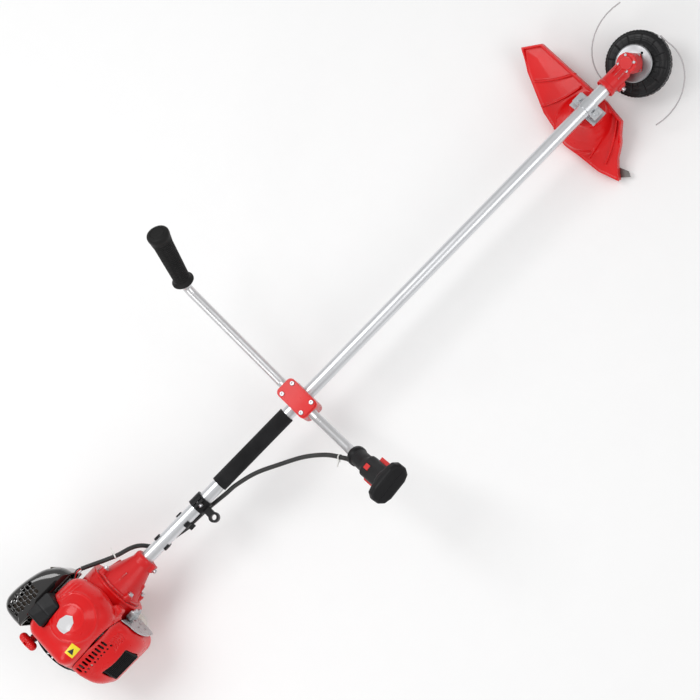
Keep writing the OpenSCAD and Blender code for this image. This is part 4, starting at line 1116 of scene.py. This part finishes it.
bracket_parts = [field("brk", bracket, (-509, -75, 6), (-487, -52, 42), 0.7, "cast")]
for z in BRACKET_BOLTS_Z:
    seat = Matrix.Translation((-489.4, -63.5, z)) @ Matrix.Rotation(math.pi / 2, 4, "Y")
    bracket_parts.append(lathe("bb%d" % z, BOLT_PROFILE, "zinc", seat, 36, 30, shape=hex_head))
joined("exhaust_bracket", bracket_parts, "frame", "cast_alu")

screws = [lathe("fs%d" % k, SCREW_PROFILE, "washer",
                HEAD @ Matrix.Translation((x, y, -16.2)), 30, 30)
          for k, (x, y) in enumerate(((19.6, 0), (-19.6, 0), (0, 19.6), (0, -19.6)))]
joined("flange_screws", screws, "frame", "steel")

# ---------------------------------------------------------------- floor, light, camera (m)
FLOOR_HALF = 6.0


def add_floor():
    h = FLOOR_HALF
    mesh = bpy.data.meshes.new("floor")
    mesh.from_pydata([(-h, -h, 0), (h, -h, 0), (h, h, 0), (-h, h, 0)], [], [(0, 1, 2, 3)])
    floor = bpy.data.objects.new("floor", mesh)
    floor.location.z = -0.0005
    bpy.context.scene.collection.objects.link(floor)
    mesh.materials.append(add_finish(
        "floor_paint", colour=(0.93, 0.93, 0.93), rough=0.85, metal=0, coat=0, drift=0.004,
        grain=(40, 0.02, 0.0002), edge=0.0, specular=0.1))


def add_world():
    world = bpy.data.worlds.new("world")
    bpy.context.scene.world = world
    world.use_nodes = True
    background = world.node_tree.nodes["Background"].inputs
    background["Color"].default_value = (1, 1, 1, 1)
    background["Strength"].default_value = 0.60


def add_light(name, place, target, width, height, watts):
    light = bpy.data.lights.new(name, "AREA")
    light.energy = watts
    light.size = width
    light.shape = "RECTANGLE"
    light.size_y = height
    item = bpy.data.objects.new(name, light)
    item.location = place
    aim = Vector(target) - Vector(place)
    item.rotation_euler = aim.to_track_quat("-Z", "Y").to_euler()
    bpy.context.scene.collection.objects.link(item)


CAMERA_LEAN = math.radians(13.0)        # from straight down, towards +Y
CAMERA_DISTANCE = 2.7
VIEW_WIDTH = 1.316                      # at the target
SENSOR = 36                             # mm
TUBE_RIGHT, TUBE_UP = 0.6983, 0.7158    # direction of +X across the picture


def add_camera():
    back = Vector((0, -math.sin(CAMERA_LEAN), math.cos(CAMERA_LEAN)))
    across = Vector((0, -math.cos(CAMERA_LEAN), -math.sin(CAMERA_LEAN)))
    length = math.hypot(TUBE_RIGHT, TUBE_UP)
    x_right, x_up = TUBE_RIGHT / length, TUBE_UP / length
    right = Vector((1, 0, 0)) * x_right + across * x_up
    up = Vector((1, 0, 0)) * x_up - across * x_right
    camera = bpy.data.cameras.new("camera")
    item = bpy.data.objects.new("camera", camera)
    bpy.context.scene.collection.objects.link(item)
    item.rotation_mode = "QUATERNION"
    turn = Matrix((right, up, back)).transposed().to_4x4()
    item.rotation_quaternion = turn.to_quaternion()
    item.location = to_row((133, 0, 0)) + back * CAMERA_DISTANCE
    camera.sensor_width = SENSOR
    camera.lens = SENSOR * CAMERA_DISTANCE / VIEW_WIDTH
    camera.clip_end = 50
    bpy.context.scene.camera = item


add_floor()
add_world()
add_light("key", (0.2, 1.3, 2.6), target=(0.6, 0, 0.1), width=1.2, height=1.6, watts=30)
add_light("fill", (1.8, -1.8, 2.2), target=(0.7, 0, 0.1), width=1.6, height=1.6, watts=15)
add_light("back", (-1.4, -0.6, 1.6), target=(0.2, 0, 0.1), width=0.8, height=1.4, watts=10)
add_camera()
view = bpy.context.scene.view_settings
view.view_transform = "Standard"
view.look = "None"
